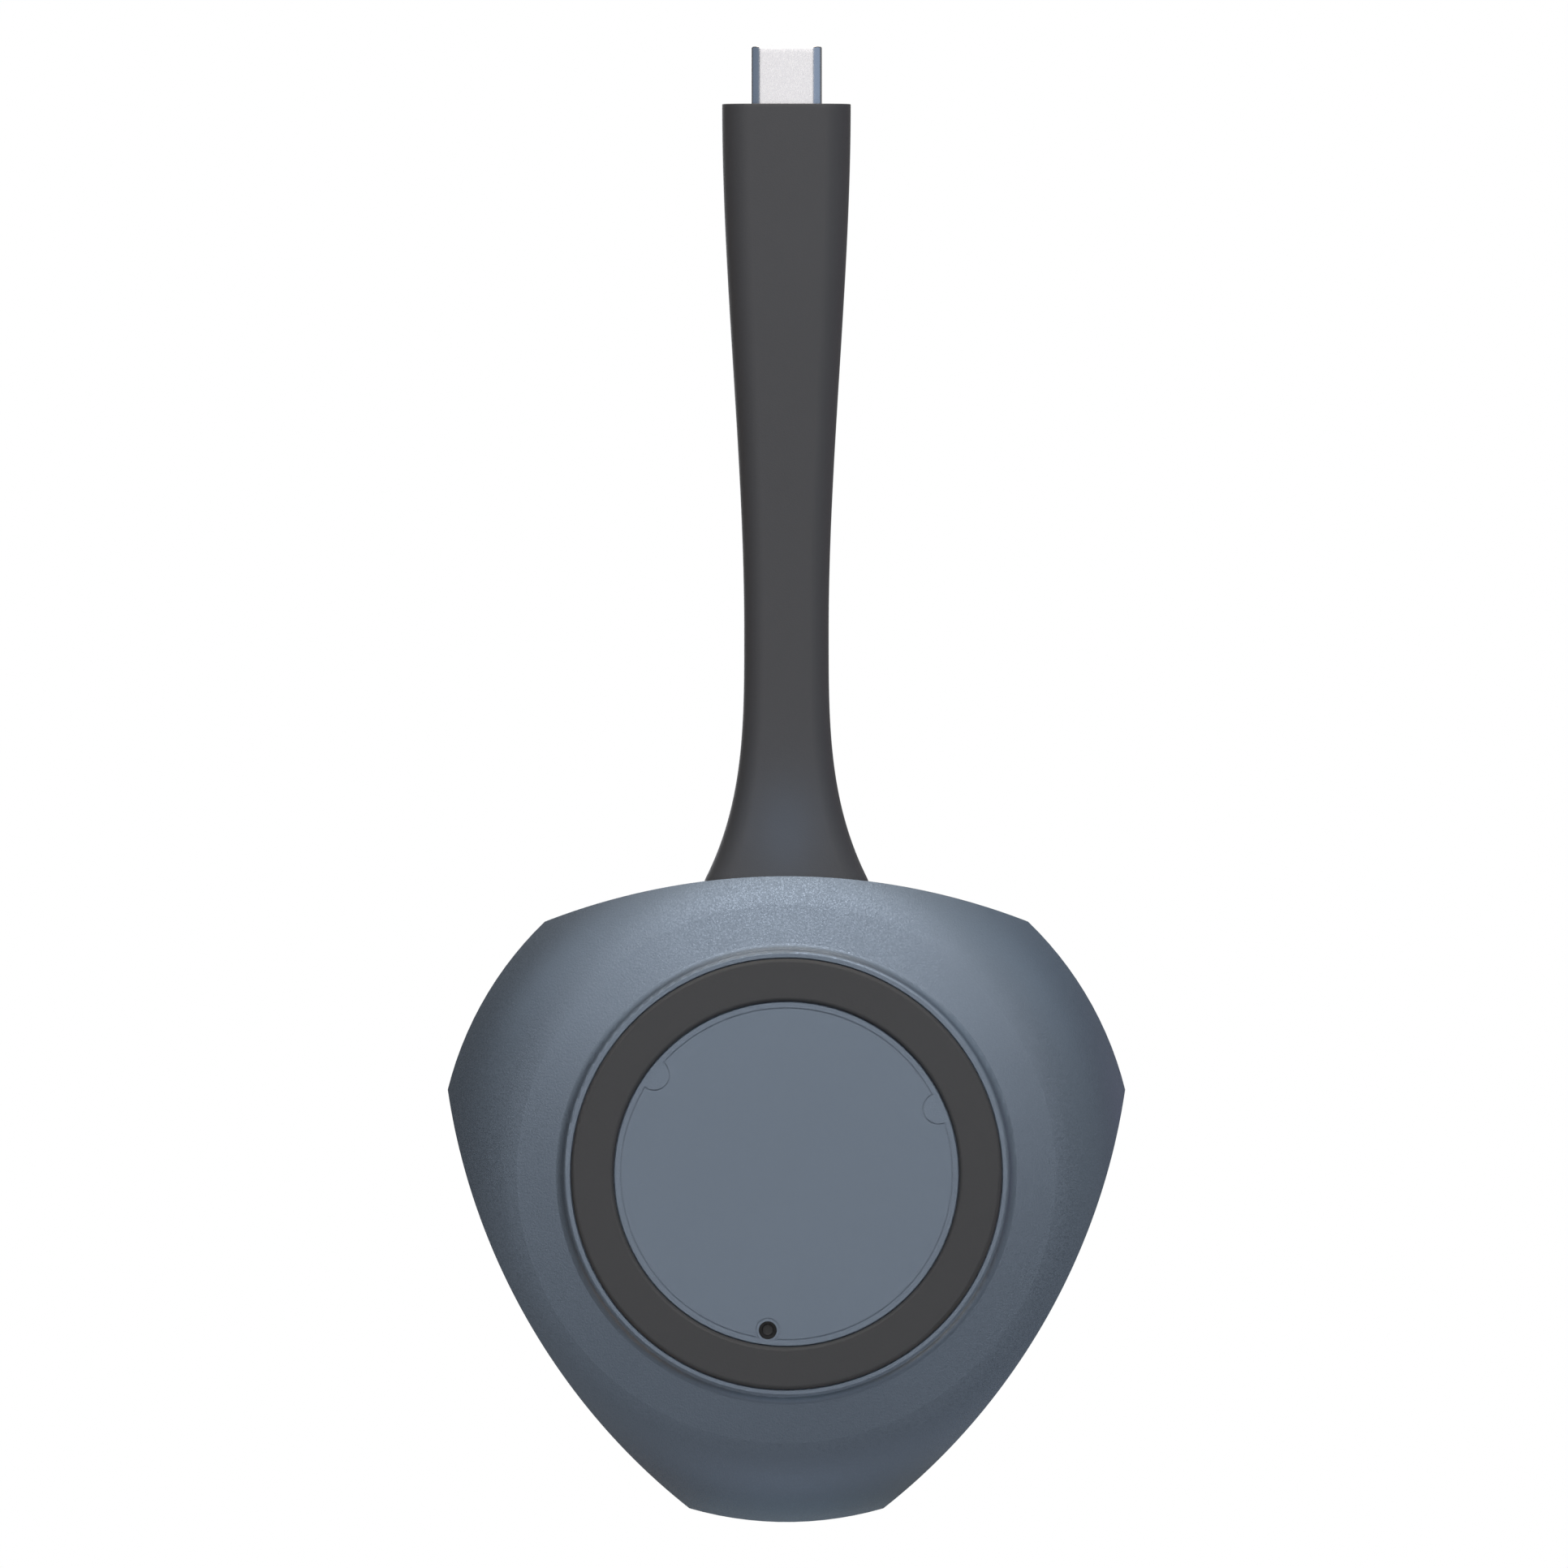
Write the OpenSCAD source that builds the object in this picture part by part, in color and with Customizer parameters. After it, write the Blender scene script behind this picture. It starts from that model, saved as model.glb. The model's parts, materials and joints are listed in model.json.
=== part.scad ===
// Wireless presentation dongle: a three-sided puck with a push button on top, a rubber foot ring
// underneath, and a flexible neck that ends in a USB Type-C plug.
// Lengths are in millimetres. The origin is the centre of the foot ring, on the surface that the
// puck stands on. +Z is up, towards the button, and +Y runs along the neck to the plug.

/* [Casing outline] */
// Radius of the circle that the three blunt corners lie on
corner_r = 40.4; // [39:0.1:43]
// Radius of each of the three long sides
flank_r = 77; // [70:0.5:90]
// Distance from the button's axis to the middle of a long side
flank_reach = 34.4; // [33.5:0.1:36]

/* [Casing profile] */
// Height of the joint between the two shells
split_z = 9.4; // [9.2:0.1:10.4]
// Radius of the rear shell's dome
rear_dome_r = 170; // [150:1:200]
// Height of the rear dome at the foot's lip
rear_lip_z = 1.18; // [1.05:0.01:1.25]
// Radius of the broad rounding that rolls the rear dome up towards the joint
rear_edge_r = 14; // [12:0.1:14.5]
// How far beyond the corners that rounding would stand upright
rear_edge_over = 2.2; // [1.9:0.1:3.5]
// Radius of the front shell's dome
front_dome_r = 170; // [150:1:200]
// Height of the front dome above the joint, at the edge of the button's opening
front_rise = 5.7; // [5.6:0.05:6.2]
// Rounding between the front dome and the joint
front_edge_r = 2.5; // [2.3:0.1:3]
// Wall thickness of both shells
shell_wall = 1.8; // [1.6:0.05:2]
// Height of the tongue that lines up the shells
tongue_h = 1.2; // [0.8:0.1:1.4]
// Thickness of that tongue
tongue_t = 0.8; // [0.6:0.05:0.9]
// Width of the groove that shows at the joint
seam_w = 0.2; // [0.1:0.05:0.4]

/* [Foot ring and label] */
// How far the rubber foot stands out below the casing
foot_stand = 0.45; // [0.35:0.05:0.6]
// Outer radius of the round lip that frames the foot
lip_r = 25.9; // [25.6:0.05:26.2]
// Width of that lip
lip_w = 0.85; // [0.6:0.05:0.95]
// Radius of the cove between the lip and the dome
cove_r = 1.1; // [0.8:0.1:1.3]
// Radius of the round disc inside the foot
disc_r = 19.85; // [19.7:0.05:20.1]
// Depth of the channel that the foot is glued into
channel_depth = 1.1; // [0.9:0.05:1.2]
// Gap between the foot and each wall of its channel
foot_gap = 0.15; // [0.1:0.05:0.3]
// Radius of the blank rating label
label_r = 19.1; // [18.8:0.05:19.3]
// Thickness of the label
label_t = 0.15; // [0.1:0.01:0.2]
// Radius of the half-round notches in the label's rim
notch_r = 1.85; // [1.4:0.05:2.4]
// Radius of the reset pin hole
reset_hole_r = 1.05; // [0.8:0.05:1.3]
// Distance of the reset pin hole from the button's axis
reset_reach = 18.2; // [17.6:0.05:18.4]

/* [Button and light ring] */
// Radius of the button cap
cap_r = 16.8; // [16:0.1:17.2]
// Thickness of the button cap's plate
cap_t = 1.5; // [1.2:0.1:1.7]
// Depth of the shallow dish in the button
dish_depth = 0.4; // [0.2:0.05:0.6]
// How far the button travels when it is pressed
button_travel = 0.6; // [0.4:0.05:0.7]
// Width of the light ring round the button
ring_w = 2.25; // [1.8:0.05:2.4]
// Gap between the button, the light ring and the casing
ring_gap = 0.2; // [0.15:0.05:0.3]
// Number of light chips under the light ring
led_count = 12; // [6:1:18]

/* [Neck] */
// Length of the neck from the casing to its end face
neck_len = 90; // [80:0.1:110]
// Distance of the waist from the casing
waist_at = 28.8; // [24:0.1:34]
// Width of the neck at the casing
base_w = 19.1; // [17:0.1:20]
// Width of the neck at its waist
waist_w = 9.8; // [9:0.1:12]
// Width of the neck at the plug
head_w = 14.9; // [14:0.1:16]
// Thickness of the neck at the casing
base_t = 6.6; // [6:0.1:6.8]
// Thickness of the neck at its waist
waist_t = 4.8; // [4.4:0.1:5.8]
// Thickness of the neck at the plug
head_t = 6.4; // [6:0.1:7.4]
// Length of the stretch that bends
flex_len = 25; // [20:1:30]
// Radius of the cable inside the neck
cable_r = 1.6; // [1.4:0.05:1.8]

/* [Plug] */
// Width of the Type-C plug shell
plug_w = 8.25; // [8.2:0.01:8.3]
// Thickness of the plug shell
plug_t = 2.4; // [2.36:0.01:2.44]
// Length of the plug shell that stands out of the neck
plug_len = 6.65; // [6.2:0.05:6.7]
// Wall of the plug shell
plug_wall = 0.25; // [0.2:0.01:0.28]

/* [Fasteners] */
// Shank radius of the casing screws
case_screw_r = 0.95; // [0.8:0.05:1.05]
// Shank radius of the frame screws
frame_screw_r = 0.7; // [0.6:0.05:0.8]

/* [Hidden] */
$fn = 96;

// Colours
shell_colour = "#5d6876";
rubber_colour = "#434446";
neck_colour = "#4c4d4f";
steel_colour = "#d9d9da";
plate_colour = "#b8babd";
board_colour = "#1f5a43";
chip_colour = "#232426";
gold_colour = "#c9a548";
white_colour = "#eceae4";
film_colour = "#c98a2e";
wire_colour = "#a33b34";
pad_colour = "#8fa3b8";

// Overrun of every cut, the sliver that lets two fused solids meet, the gap between parts that lie
// against each other, and the gap between parts that slide into place
over = 1;
fuse = 0.2;
touch_gap = 0.05;
fit_gap = 0.1;

// The domes' centres follow from their heights at the foot's lip and at the button's opening. Each dome
// runs into a rounding that would stand upright at its end radius, and the rounding's centre follows the
// dome. The front rounding ends there, at the corners' circle. The rear one is cut off by that circle
// before it stands upright, and an upright band goes on to the joint.
opening_r = cap_r + ring_gap + ring_w + ring_gap;
rear_centre_z = rear_lip_z + sqrt(pow(rear_dome_r, 2) - pow(lip_r, 2));
front_centre_z = split_z + front_rise - sqrt(pow(front_dome_r, 2) - pow(opening_r, 2));
rear_end_r = corner_r + rear_edge_over;
function edge_drop(dome_r, edge_r, end_r) = sqrt(pow(dome_r - edge_r, 2) - pow(end_r - edge_r, 2));
rear_edge_z = rear_centre_z - edge_drop(rear_dome_r, rear_edge_r, rear_end_r);
front_edge_z = front_centre_z + edge_drop(front_dome_r, front_edge_r, corner_r);
// Radius at which a dome runs into its rounding
function join_r(dome_r, edge_r, end_r, inset = 0) =
    (end_r - edge_r) * (dome_r - inset) / (dome_r - edge_r);
// Distance of the profile from the dome's centre along Z: the dome, then the rounding
function profile_h(r, dome_r, edge_r, end_r, inset) =
    r < join_r(dome_r, edge_r, end_r, inset)
        ? sqrt(pow(dome_r - inset, 2) - r * r)
        : edge_drop(dome_r, edge_r, end_r) + sqrt(pow(edge_r - inset, 2) - pow(r - end_r + edge_r, 2));
function rear_z(r, inset = 0) =
    rear_centre_z - profile_h(r, rear_dome_r, rear_edge_r, rear_end_r, inset);
function front_z(r, inset = 0) =
    front_centre_z + profile_h(r, front_dome_r, front_edge_r, corner_r, inset);
// Radius of the rear profile at a height
function rear_r(z, inset = 0) =
    z < rear_z(join_r(rear_dome_r, rear_edge_r, rear_end_r, inset), inset)
        ? sqrt(pow(rear_dome_r - inset, 2) - pow(rear_centre_z - z, 2))
        : min(corner_r - inset,
            rear_end_r - rear_edge_r + sqrt(pow(rear_edge_r - inset, 2) - pow(rear_edge_z - z, 2)));
flank_centre = flank_r - flank_reach;
// Distance of the outline's long side from the button's axis, at a place beside the neck
function side_y(x, inset = 0) =
    min(sqrt(pow(flank_r - inset, 2) - x * x) - flank_centre, sqrt(pow(corner_r - inset, 2) - x * x));
function arc(x, y, r, from, to, steps) =
    [for (i = [0:steps]) let (a = from + (to - from) * i / steps) [x + r * cos(a), y + r * sin(a)]];
function polar(r, turn, z = 0) = [r * cos(turn), r * sin(turn), z];

// Screws that close the casing, the turn of the first of them, and screws that hold the button frame
case_screw_count = 4;
case_screw_turn = 45;
frame_screw_count = 3;

// Rear shell
seam_depth = 0.3;
lip_round = lip_w / 2;
lip_mid_r = lip_r - lip_round;
label_depth = 0.2;
label_gap = 0.15;
label_hole_gap = 0.4;
floor_t = 2;
label_z = foot_stand + label_depth;
floor_z = label_z + floor_t;
channel_z = foot_stand + channel_depth;
channel_in_r = disc_r;
channel_out_r = lip_r - lip_w;
foot_in_r = channel_in_r + foot_gap;
foot_out_r = channel_out_r - foot_gap;
foot_mid_r = (foot_in_r + foot_out_r) / 2;
foot_round = 0.45;
tape_t = 0.1;
tape_inset = 0.3;
foot_back_z = channel_z - tape_t;
feature_turn = 36.8;
feature_turns = [for (i = [0:2]) feature_turn + 120 * i];
reset_turn = feature_turns[2];
reset_chimney_wall = 0.9;
reset_chimney_h = 0.6;
board_lift = 3.5;
board_z = floor_z + board_lift;
boss_wall = 1.35;
screw_slack = 0.1;
case_boss_r = case_screw_r + screw_slack + boss_wall;
case_turns = [for (i = [0:case_screw_count - 1]) case_screw_turn + 360 / case_screw_count * i];
screw_head_r = 1.8;
screw_head_h = 1.2;
screw_seat_z = channel_z + screw_head_h + fit_gap;
screw_tip_gap = 1.2;
recess_w_share = 0.3;
recess_span_share = 1.2;
recess_depth_share = 0.6;
plate_rib_h = 0.7;
plate_rib_w = 1.2;

// Main board
board_t = 1;
board_top = board_z + board_t;
board_inset = 3.1;
board_gap = 1.2;
board_corner_r = rear_r(board_z, shell_wall) - board_gap;

// Light ring, light board and button frame, stacked down from the front shell's opening
opening_chamfer = 0.35;
ring_in_r = cap_r + ring_gap;
ring_out_r = ring_in_r + ring_w;
ring_sink = 0.1;
ring_crown = 0.15;
ring_flange_w = 0.75;
ring_flange_h = 1;
ring_flange_r = ring_out_r + ring_flange_w;
ring_flange_top = front_z(ring_flange_r, shell_wall) - fit_gap;
ring_bottom = ring_flange_top - ring_flange_h;
ring_top = front_z(opening_r) - ring_sink;
led_l = 1.6;
led_w = 0.8;
led_h = 0.6;
led_board_t = 0.6;
led_board_top = ring_bottom - fit_gap - led_h;
frame_top = led_board_top - led_board_t;
frame_t = 1.2;
frame_bottom = frame_top - frame_t;
ear_reach = 22.5;
frame_boss_r = frame_screw_r + screw_slack + boss_wall;
frame_turns = [for (i = [0:frame_screw_count - 1]) 360 / frame_screw_count * i];
frame_head_r = 1.4;
frame_head_h = 0.9;
frame_screw_bite = 1.7;
// Height of the front shell's inside over the casing screws and over the frame screws
case_ceiling_z = front_z(foot_mid_r, shell_wall);
frame_ceiling_z = front_z(ear_reach, shell_wall);

// Button cap
cap_proud = 0.2;
cap_top = ring_top + cap_proud;
cap_under = cap_top - cap_t;
cap_round = 0.4;
round_steps = 5;
skirt_w = 1.4;
skirt_clear = 0.3;
skirt_bottom = frame_top + button_travel + skirt_clear;
dish_r = 13.5;
dish_steps = 8;
pusher_r = 2;
pusher_hole_gap = 0.8;
pin_r = 1.1;
pin_reach = 11;
pin_gap = 0.08;
pin_below = 0.3;
sleeve_wall = 0.8;
sleeve_h = 0.8;
hook_reach = 14;
hook_t = 1.2;
hook_w = 3.2;
hook_barb = 0.8;
hook_barb_h = 0.8;
hook_slot_gap = 0.3;
hook_turns = [for (t = frame_turns) t + 180 / frame_screw_count];
spring_wire_r = 0.15;
spring_gap = 0.2;
spring_r = pin_r + pin_gap + sleeve_wall + spring_gap + spring_wire_r;
spring_turns = 4;
spring_steps = 12;
spring_sides = 5;

// Switches
switch_w = 6.2;
switch_h = 1.8;
plunger_r = 1.6;
plunger_h = 0.85;
plunger_foot = 0.6;
plunger_gap = 0.06;
switch_top = board_top + switch_h;
plunger_top = switch_top + plunger_h;
reset_w = 3.4;
reset_h = 1.8;
reset_tip_r = 0.6;
reset_tip_h = 0.8;
reset_tip_foot = 0.5;
reset_travel = 0.25;

// Parts on the main board: width along X, depth along Y, height, and the place of their centre
can_size = [9, 14, 1.3];
can_at = [-8.4, 0];
can_wall = 0.2;
radio_size = [6, 7, 0.8];
memory_size = [6, 9, 0.9];
memory_at = [8.2, 4.2];
power_size = [3.6, 3.6, 0.8];
power_at = [[7, -4.6], [12.4, -8], [-11, 10.6]];
crystal_size = [3.2, 2.5, 0.7];
crystal_at = [-1.5, -10.6];
passive_size = [1, 0.5, 0.5];
passive_rows = 4;
passive_columns = 5;
passive_pitch = [1.7, 1.3];
passive_at = [17.5, -8.5];
processor_size = [12, 12, 1.1];
processor_at = [0, 2];
pad_t = 0.5;
plate_size = [25, 23];
plate_t = board_lift - plate_rib_h - pad_t - processor_size[2];
antenna_size = [4.6, 11, 0.3];
antenna_y = 9.2;
antenna_edge = 0.6;
antenna_end_x = sqrt(pow(board_corner_r, 2) - pow(antenna_y + antenna_size[1] / 2, 2));
antenna_at = [antenna_end_x - antenna_edge - antenna_size[0] / 2, antenna_y];
antenna_lift = 2.3;
antenna_leg = 0.8;
antenna_leg_at = [1.6, 4.9];
ribbon_w = 5;
ribbon_t = 0.2;
ribbon_x = -5.5;
ribbon_reach = 20.6;
socket_size = [6.2, 1.9, 1.2];
socket_floor = 0.4;

// Neck, its flange inside the casing, and the cable end
neck_drop = 0.9;
neck_z = split_z - neck_drop;
neck_y0 = side_y(base_w / 2);
neck_y1 = neck_y0 + neck_len;
waist_y = neck_y0 + waist_at;
flare_power = 3.2;
neck_sides = 24;
root_steps = 16;
flex_steps = 8;
head_steps = 14;
flange_side = 2.6;
flange_len = 2.8;
flange_gap = 0.15;
flange_half_w = base_w / 2 + flange_side;
flange_y1 = side_y(flange_half_w, shell_wall) - flange_gap;
flange_y0 = flange_y1 - flange_len;
flange_corner_r = norm([flange_half_w, flange_y1]);
flange_z0 = rear_z(flange_corner_r, shell_wall) + flange_gap;
flange_z1 = front_z(flange_corner_r, shell_wall) - flange_gap;
saddle_t = 1.1;
saddle_x0 = 5;
saddle_x1 = 11;
saddle_z0 = rear_z(norm([saddle_x0, flange_y0 - fit_gap - saddle_t]), shell_wall) - fuse;
board_y1 = flange_y0 - saddle_t - 2 * fit_gap;
flex_y0 = waist_y - flex_len / 2;
flex_y1 = waist_y + flex_len / 2;
core_tail = 0.4;
core_y0 = flange_y0 - core_tail;
wire_r = 0.38;
wire_count = 5;
wire_pitch = 1.4;
wire_end_pitch = 0.58;
header_size = [9, 3, 2];
header_pocket = [7.6, 1.9, 1.1];
housing_size = [8.4, 2.5, 1.7];
housing_nose = [7.4, 1.7, 0.9];
housing_setback = 2.6;
housing_y1 = board_y1 - housing_setback;
housing_y0 = housing_y1 - housing_size[1];
header_mid = board_top + header_size[2] / 2;

// The outermost wire leans by its drift over its run, so its flat ends stand back by that lean's share
wire_run = core_y0 - housing_y1;
wire_drift = norm([(wire_count - 1) / 2 * (wire_pitch - wire_end_pitch), neck_z - header_mid]);
wire_clear = wire_r * wire_drift / norm([wire_run, wire_drift]) + touch_gap;

// Plug end
shield_w = 9.8;
shield_t = 4.2;
shield_wall = 0.2;
shield_front = 3;
shield_len = 16.8;
shield_y1 = neck_y1 - shield_front;
shield_y0 = shield_y1 - shield_len;
core_bite = 1.6;
core_y1 = shield_y0 + core_bite;
paddle_size = [8.4, 10.6, 0.8];
paddle_pocket_t = 2.3;
paddle_setback = 1.4;
paddle_y0 = core_y1 + paddle_setback;
paddle_y1 = paddle_y0 + paddle_size[1];
marker_size = [2.6, 2.6, 0.6];
plug_wire_r = 0.26;
plug_wire_count = 4;
plug_wire_pitch = 0.7;
plug_wire_len = 2.6;
shell_setback = 0.3;
shell_y0 = paddle_y1 + shell_setback;
plug_y1 = neck_y1 + plug_len;
insulator_gap = 0.03;
insulator_sink = 0.35;
insulator_len = 9.4;
insulator_y1 = plug_y1 - insulator_sink;
mouth_w = 6.7;
mouth_t = 1;
mouth_depth = 5.6;
contact_count = 12;
contact_pitch = 0.5;
contact_w = 0.25;
contact_t = 0.13;
contact_sink = 0.5;
latch_w = 0.3;
latch_t = 0.5;
latch_len = 4.6;

// A box of the given size, centred on a place in plan and standing on a height
module plate(size, at = [0, 0], z = 0) {
    translate([at[0] - size[0] / 2, at[1] - size[1] / 2, z]) cube(size);
}

// The three long sides, as the space inside three big circles
module within_flanks(inset = 0) {
    intersection_for (i = [0:2])
        rotate([0, 0, 120 * i])
            translate([0, -flank_centre, -over])
                cylinder(r = flank_r - inset, h = cap_top + 2 * over, $fn = 240);
}

module outline_prism(inset, z0, z1, round_r = corner_r) {
    intersection() {
        translate([0, 0, z0]) cylinder(r = round_r - inset, h = z1 - z0, $fn = 180);
        within_flanks(inset);
    }
}

// Half section between a dome and the joint. Up is 1 above the joint and -1 below it. Where the rounding
// ends short of the joint, an upright band fills the rest.
module dome_section(centre_z, edge_z, dome_r, edge_r, end_r, up, inset = 0) {
    join = join_r(dome_r, edge_r, end_r, inset);
    z0 = up > 0 ? split_z : split_z - corner_r;
    band = up * (edge_z - split_z);
    intersection() {
        translate([0, centre_z]) circle(r = dome_r - inset, $fn = 720);
        translate([0, z0]) square([join, corner_r]);
    }
    intersection() {
        translate([end_r - edge_r, edge_z]) circle(r = edge_r - inset);
        translate([join, z0]) square([corner_r - inset - join, corner_r]);
    }
    if (band > 0)
        translate([0, min(edge_z, split_z)]) square([corner_r - inset, band]);
    if (inset > 0)
        translate([0, split_z - over]) square([corner_r - inset, 2 * over]);
}

module rear_section(inset = 0) {
    dome_section(rear_centre_z, rear_edge_z, rear_dome_r, rear_edge_r, rear_end_r, -1, inset);
}

module front_section(inset = 0) {
    dome_section(front_centre_z, front_edge_z, front_dome_r, front_edge_r, corner_r, 1, inset);
}

// Outside of the rear shell: the dome, and the cove that runs from it down to the foot's lip. The cove
// touches the dome and the lip's round, so its centre's distance to theirs is the sum of the two radii.
module rear_outside() {
    lip_at = [lip_mid_r, foot_stand + lip_round];
    dome_at = [0, rear_centre_z];
    span = norm(dome_at - lip_at);
    reach = lip_round + cove_r;
    turn = acos((pow(reach, 2) + pow(span, 2) - pow(rear_dome_r + cove_r, 2)) / (2 * reach * span));
    heading = atan2(dome_at[1] - lip_at[1], dome_at[0] - lip_at[0]) - turn;
    cove_at = lip_at + reach * [cos(heading), sin(heading)];
    cove_end = cove_at + cove_r / (rear_dome_r + cove_r) * (dome_at - cove_at);
    intersection() {
        rotate_extrude($fn = 180) {
            intersection() {
                rear_section();
                translate([cove_end[0], 0]) square([corner_r, split_z]);
            }
            difference() {
                polygon([lip_at, cove_at, cove_end, [cove_end[0], split_z], [lip_mid_r, split_z]]);
                translate(cove_at) circle(r = cove_r);
            }
            translate(lip_at) circle(r = lip_round);
            translate([0, foot_stand]) square([lip_mid_r, split_z - foot_stand]);
        }
        within_flanks();
    }
}

module rear_inside() {
    intersection() {
        rotate_extrude($fn = 180)
            intersection() {
                rear_section(shell_wall);
                translate([0, floor_z]) square([corner_r, split_z]);
            }
        within_flanks(shell_wall);
    }
}

module front_outside() {
    intersection() {
        rotate_extrude($fn = 180) front_section();
        within_flanks();
    }
}

module front_inside() {
    intersection() {
        rotate_extrude($fn = 180) front_section(shell_wall);
        within_flanks(shell_wall);
    }
}

// A bar along Y with full-round sides, such as the neck's slot and the plug's shell
module round_bar(w, t, y0, y1) {
    translate([0, y0, neck_z]) rotate([-90, 0, 0]) {
        translate([-(w - t) / 2, -t / 2, 0]) cube([w - t, t, y1 - y0]);
        for (side = [-1, 1])
            translate([side * (w - t) / 2, 0, 0]) cylinder(r = t / 2, h = y1 - y0, $fn = 48);
    }
}

module bar(w, t, y0, y1, z = neck_z) {
    translate([-w / 2, y0, z - t / 2]) cube([w, y1 - y0, t]);
}

module rod_y(r, y0, y1) {
    translate([0, y0, neck_z]) rotate([-90, 0, 0]) cylinder(r = r, h = y1 - y0, $fn = 48);
}

// The casing's slot for the neck. It starts behind the neck's own start inside the flange.
module neck_slot() {
    round_bar(base_w + 2 * fit_gap, base_t + 2 * fit_gap, flange_y1 - fuse - fit_gap, flank_reach + over);
}

// The label's two notches and its opening round the pin hole. The casing stands in them, narrower by an
// inset all round.
module label_openings(inset = 0) {
    for (i = [0:1])
        translate(polar(label_r, feature_turns[i])) cylinder(r = notch_r - inset, h = label_z + over);
    translate(polar(reset_reach, reset_turn))
        cylinder(r = reset_hole_r + label_hole_gap - inset, h = label_z + over);
}

module rear_shell() {
    color(shell_colour) difference() {
        union() {
            difference() {
                rear_outside();
                rear_inside();
                outline_prism(shell_wall - tongue_t - fit_gap, split_z - tongue_h - fit_gap, split_z + over);
            }
            // Bosses for the casing screws, between the floor and the main board
            for (turn = case_turns)
                translate(polar(foot_mid_r, turn, floor_z - fuse))
                    cylinder(r = case_boss_r, h = board_z - floor_z + fuse);
            translate(polar(reset_reach, reset_turn, floor_z - fuse))
                cylinder(r = reset_hole_r + reset_chimney_wall, h = reset_chimney_h + fuse);
            // Ribs that carry the heat plate
            for (side = [-1, 1])
                plate([plate_rib_w, plate_size[1], plate_rib_h + fuse],
                    [side * plate_size[0] / 3, processor_at[1]], floor_z - fuse);
            // Ribs that hold the neck's flange against the wall
            for (side = [-1, 1])
                plate([saddle_x1 - saddle_x0, saddle_t, neck_z - saddle_z0],
                    [side * (saddle_x0 + saddle_x1) / 2, flange_y0 - fit_gap - saddle_t / 2], saddle_z0);
        }
        // Groove that shows at the joint
        difference() {
            translate([0, 0, split_z - seam_w]) cylinder(r = corner_r + over, h = seam_w + over);
            outline_prism(seam_depth, split_z - seam_w - over, split_z + 2 * over);
        }
        // Channel for the foot, recess for the label
        difference() {
            cylinder(r = channel_out_r, h = channel_z, $fn = 180);
            translate([0, 0, -over]) cylinder(r = channel_in_r, h = channel_z + 2 * over, $fn = 180);
        }
        difference() {
            cylinder(r = label_r + label_gap, h = label_z, $fn = 180);
            label_openings(label_gap);
        }
        translate(polar(reset_reach, reset_turn)) cylinder(r = reset_hole_r, h = board_z);
        for (turn = case_turns) {
            translate(polar(foot_mid_r, turn)) cylinder(r = case_screw_r + screw_slack, h = board_z + over);
            translate(polar(foot_mid_r, turn)) cylinder(r = screw_head_r + screw_slack, h = screw_seat_z);
        }
        neck_slot();
    }
}

module front_shell() {
    color(shell_colour) difference() {
        union() {
            difference() {
                front_outside();
                front_inside();
            }
            difference() {
                outline_prism(shell_wall - tongue_t, split_z - tongue_h, split_z + fuse);
                outline_prism(shell_wall, split_z - tongue_h - over, split_z + over);
            }
            for (turn = case_turns)
                translate(polar(foot_mid_r, turn, board_top))
                    cylinder(r = case_boss_r, h = case_ceiling_z + fuse - board_top);
            for (turn = frame_turns)
                translate(polar(ear_reach, turn, frame_top))
                    cylinder(r = frame_boss_r, h = frame_ceiling_z + fuse - frame_top);
        }
        translate([0, 0, board_top - over]) cylinder(r = opening_r, h = cap_top, $fn = 180);
        translate([0, 0, front_z(opening_r) - opening_chamfer])
            cylinder(r1 = opening_r, r2 = opening_r + 2 * opening_chamfer,
                h = 2 * opening_chamfer, $fn = 180);
        for (turn = case_turns)
            translate(polar(foot_mid_r, turn, board_top - over))
                cylinder(r = case_screw_r + screw_slack, h = case_ceiling_z - board_top);
        for (turn = frame_turns)
            translate(polar(ear_reach, turn, frame_top - over))
                cylinder(r = frame_screw_r + screw_slack, h = over + frame_screw_bite + fuse);
        neck_slot();
    }
}

// The foot fills its channel, and its two edges are rounded
module foot_ring() {
    color(rubber_colour) rotate_extrude($fn = 180) {
        for (r = [foot_in_r + foot_round, foot_out_r - foot_round])
            translate([r, foot_round]) circle(r = foot_round);
        translate([foot_in_r + foot_round, 0]) square([foot_out_r - foot_in_r - 2 * foot_round, foot_back_z]);
        translate([foot_in_r, foot_round]) square([foot_out_r - foot_in_r, foot_back_z - foot_round]);
    }
}

module foot_tape() {
    color(white_colour) difference() {
        translate([0, 0, foot_back_z]) cylinder(r = foot_out_r - tape_inset, h = tape_t);
        translate([0, 0, foot_back_z - over]) cylinder(r = foot_in_r + tape_inset, h = tape_t + 2 * over);
    }
}

module rating_label() {
    color(shell_colour) difference() {
        translate([0, 0, label_z - label_t]) cylinder(r = label_r, h = label_t, $fn = 180);
        label_openings();
    }
}

// The light ring's flange sits under the casing, and its skirt stands on the frame round the light board
module light_ring() {
    skirt_in_r = ring_out_r + fit_gap;
    color(white_colour) difference() {
        rotate_extrude($fn = 180)
            polygon([
                [ring_in_r, ring_bottom], [skirt_in_r, ring_bottom], [skirt_in_r, frame_top],
                [ring_flange_r, frame_top], [ring_flange_r, ring_flange_top],
                [ring_out_r, ring_flange_top], [ring_out_r, ring_top - ring_crown],
                [ring_out_r - ring_crown, ring_top], [ring_in_r + ring_crown, ring_top],
                [ring_in_r, ring_top - ring_crown]]);
        plate([ribbon_w + 2 * fit_gap, ring_flange_r, led_board_t + fit_gap + over],
            [ribbon_x, -ring_flange_r], frame_top - over);
    }
}

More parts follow.
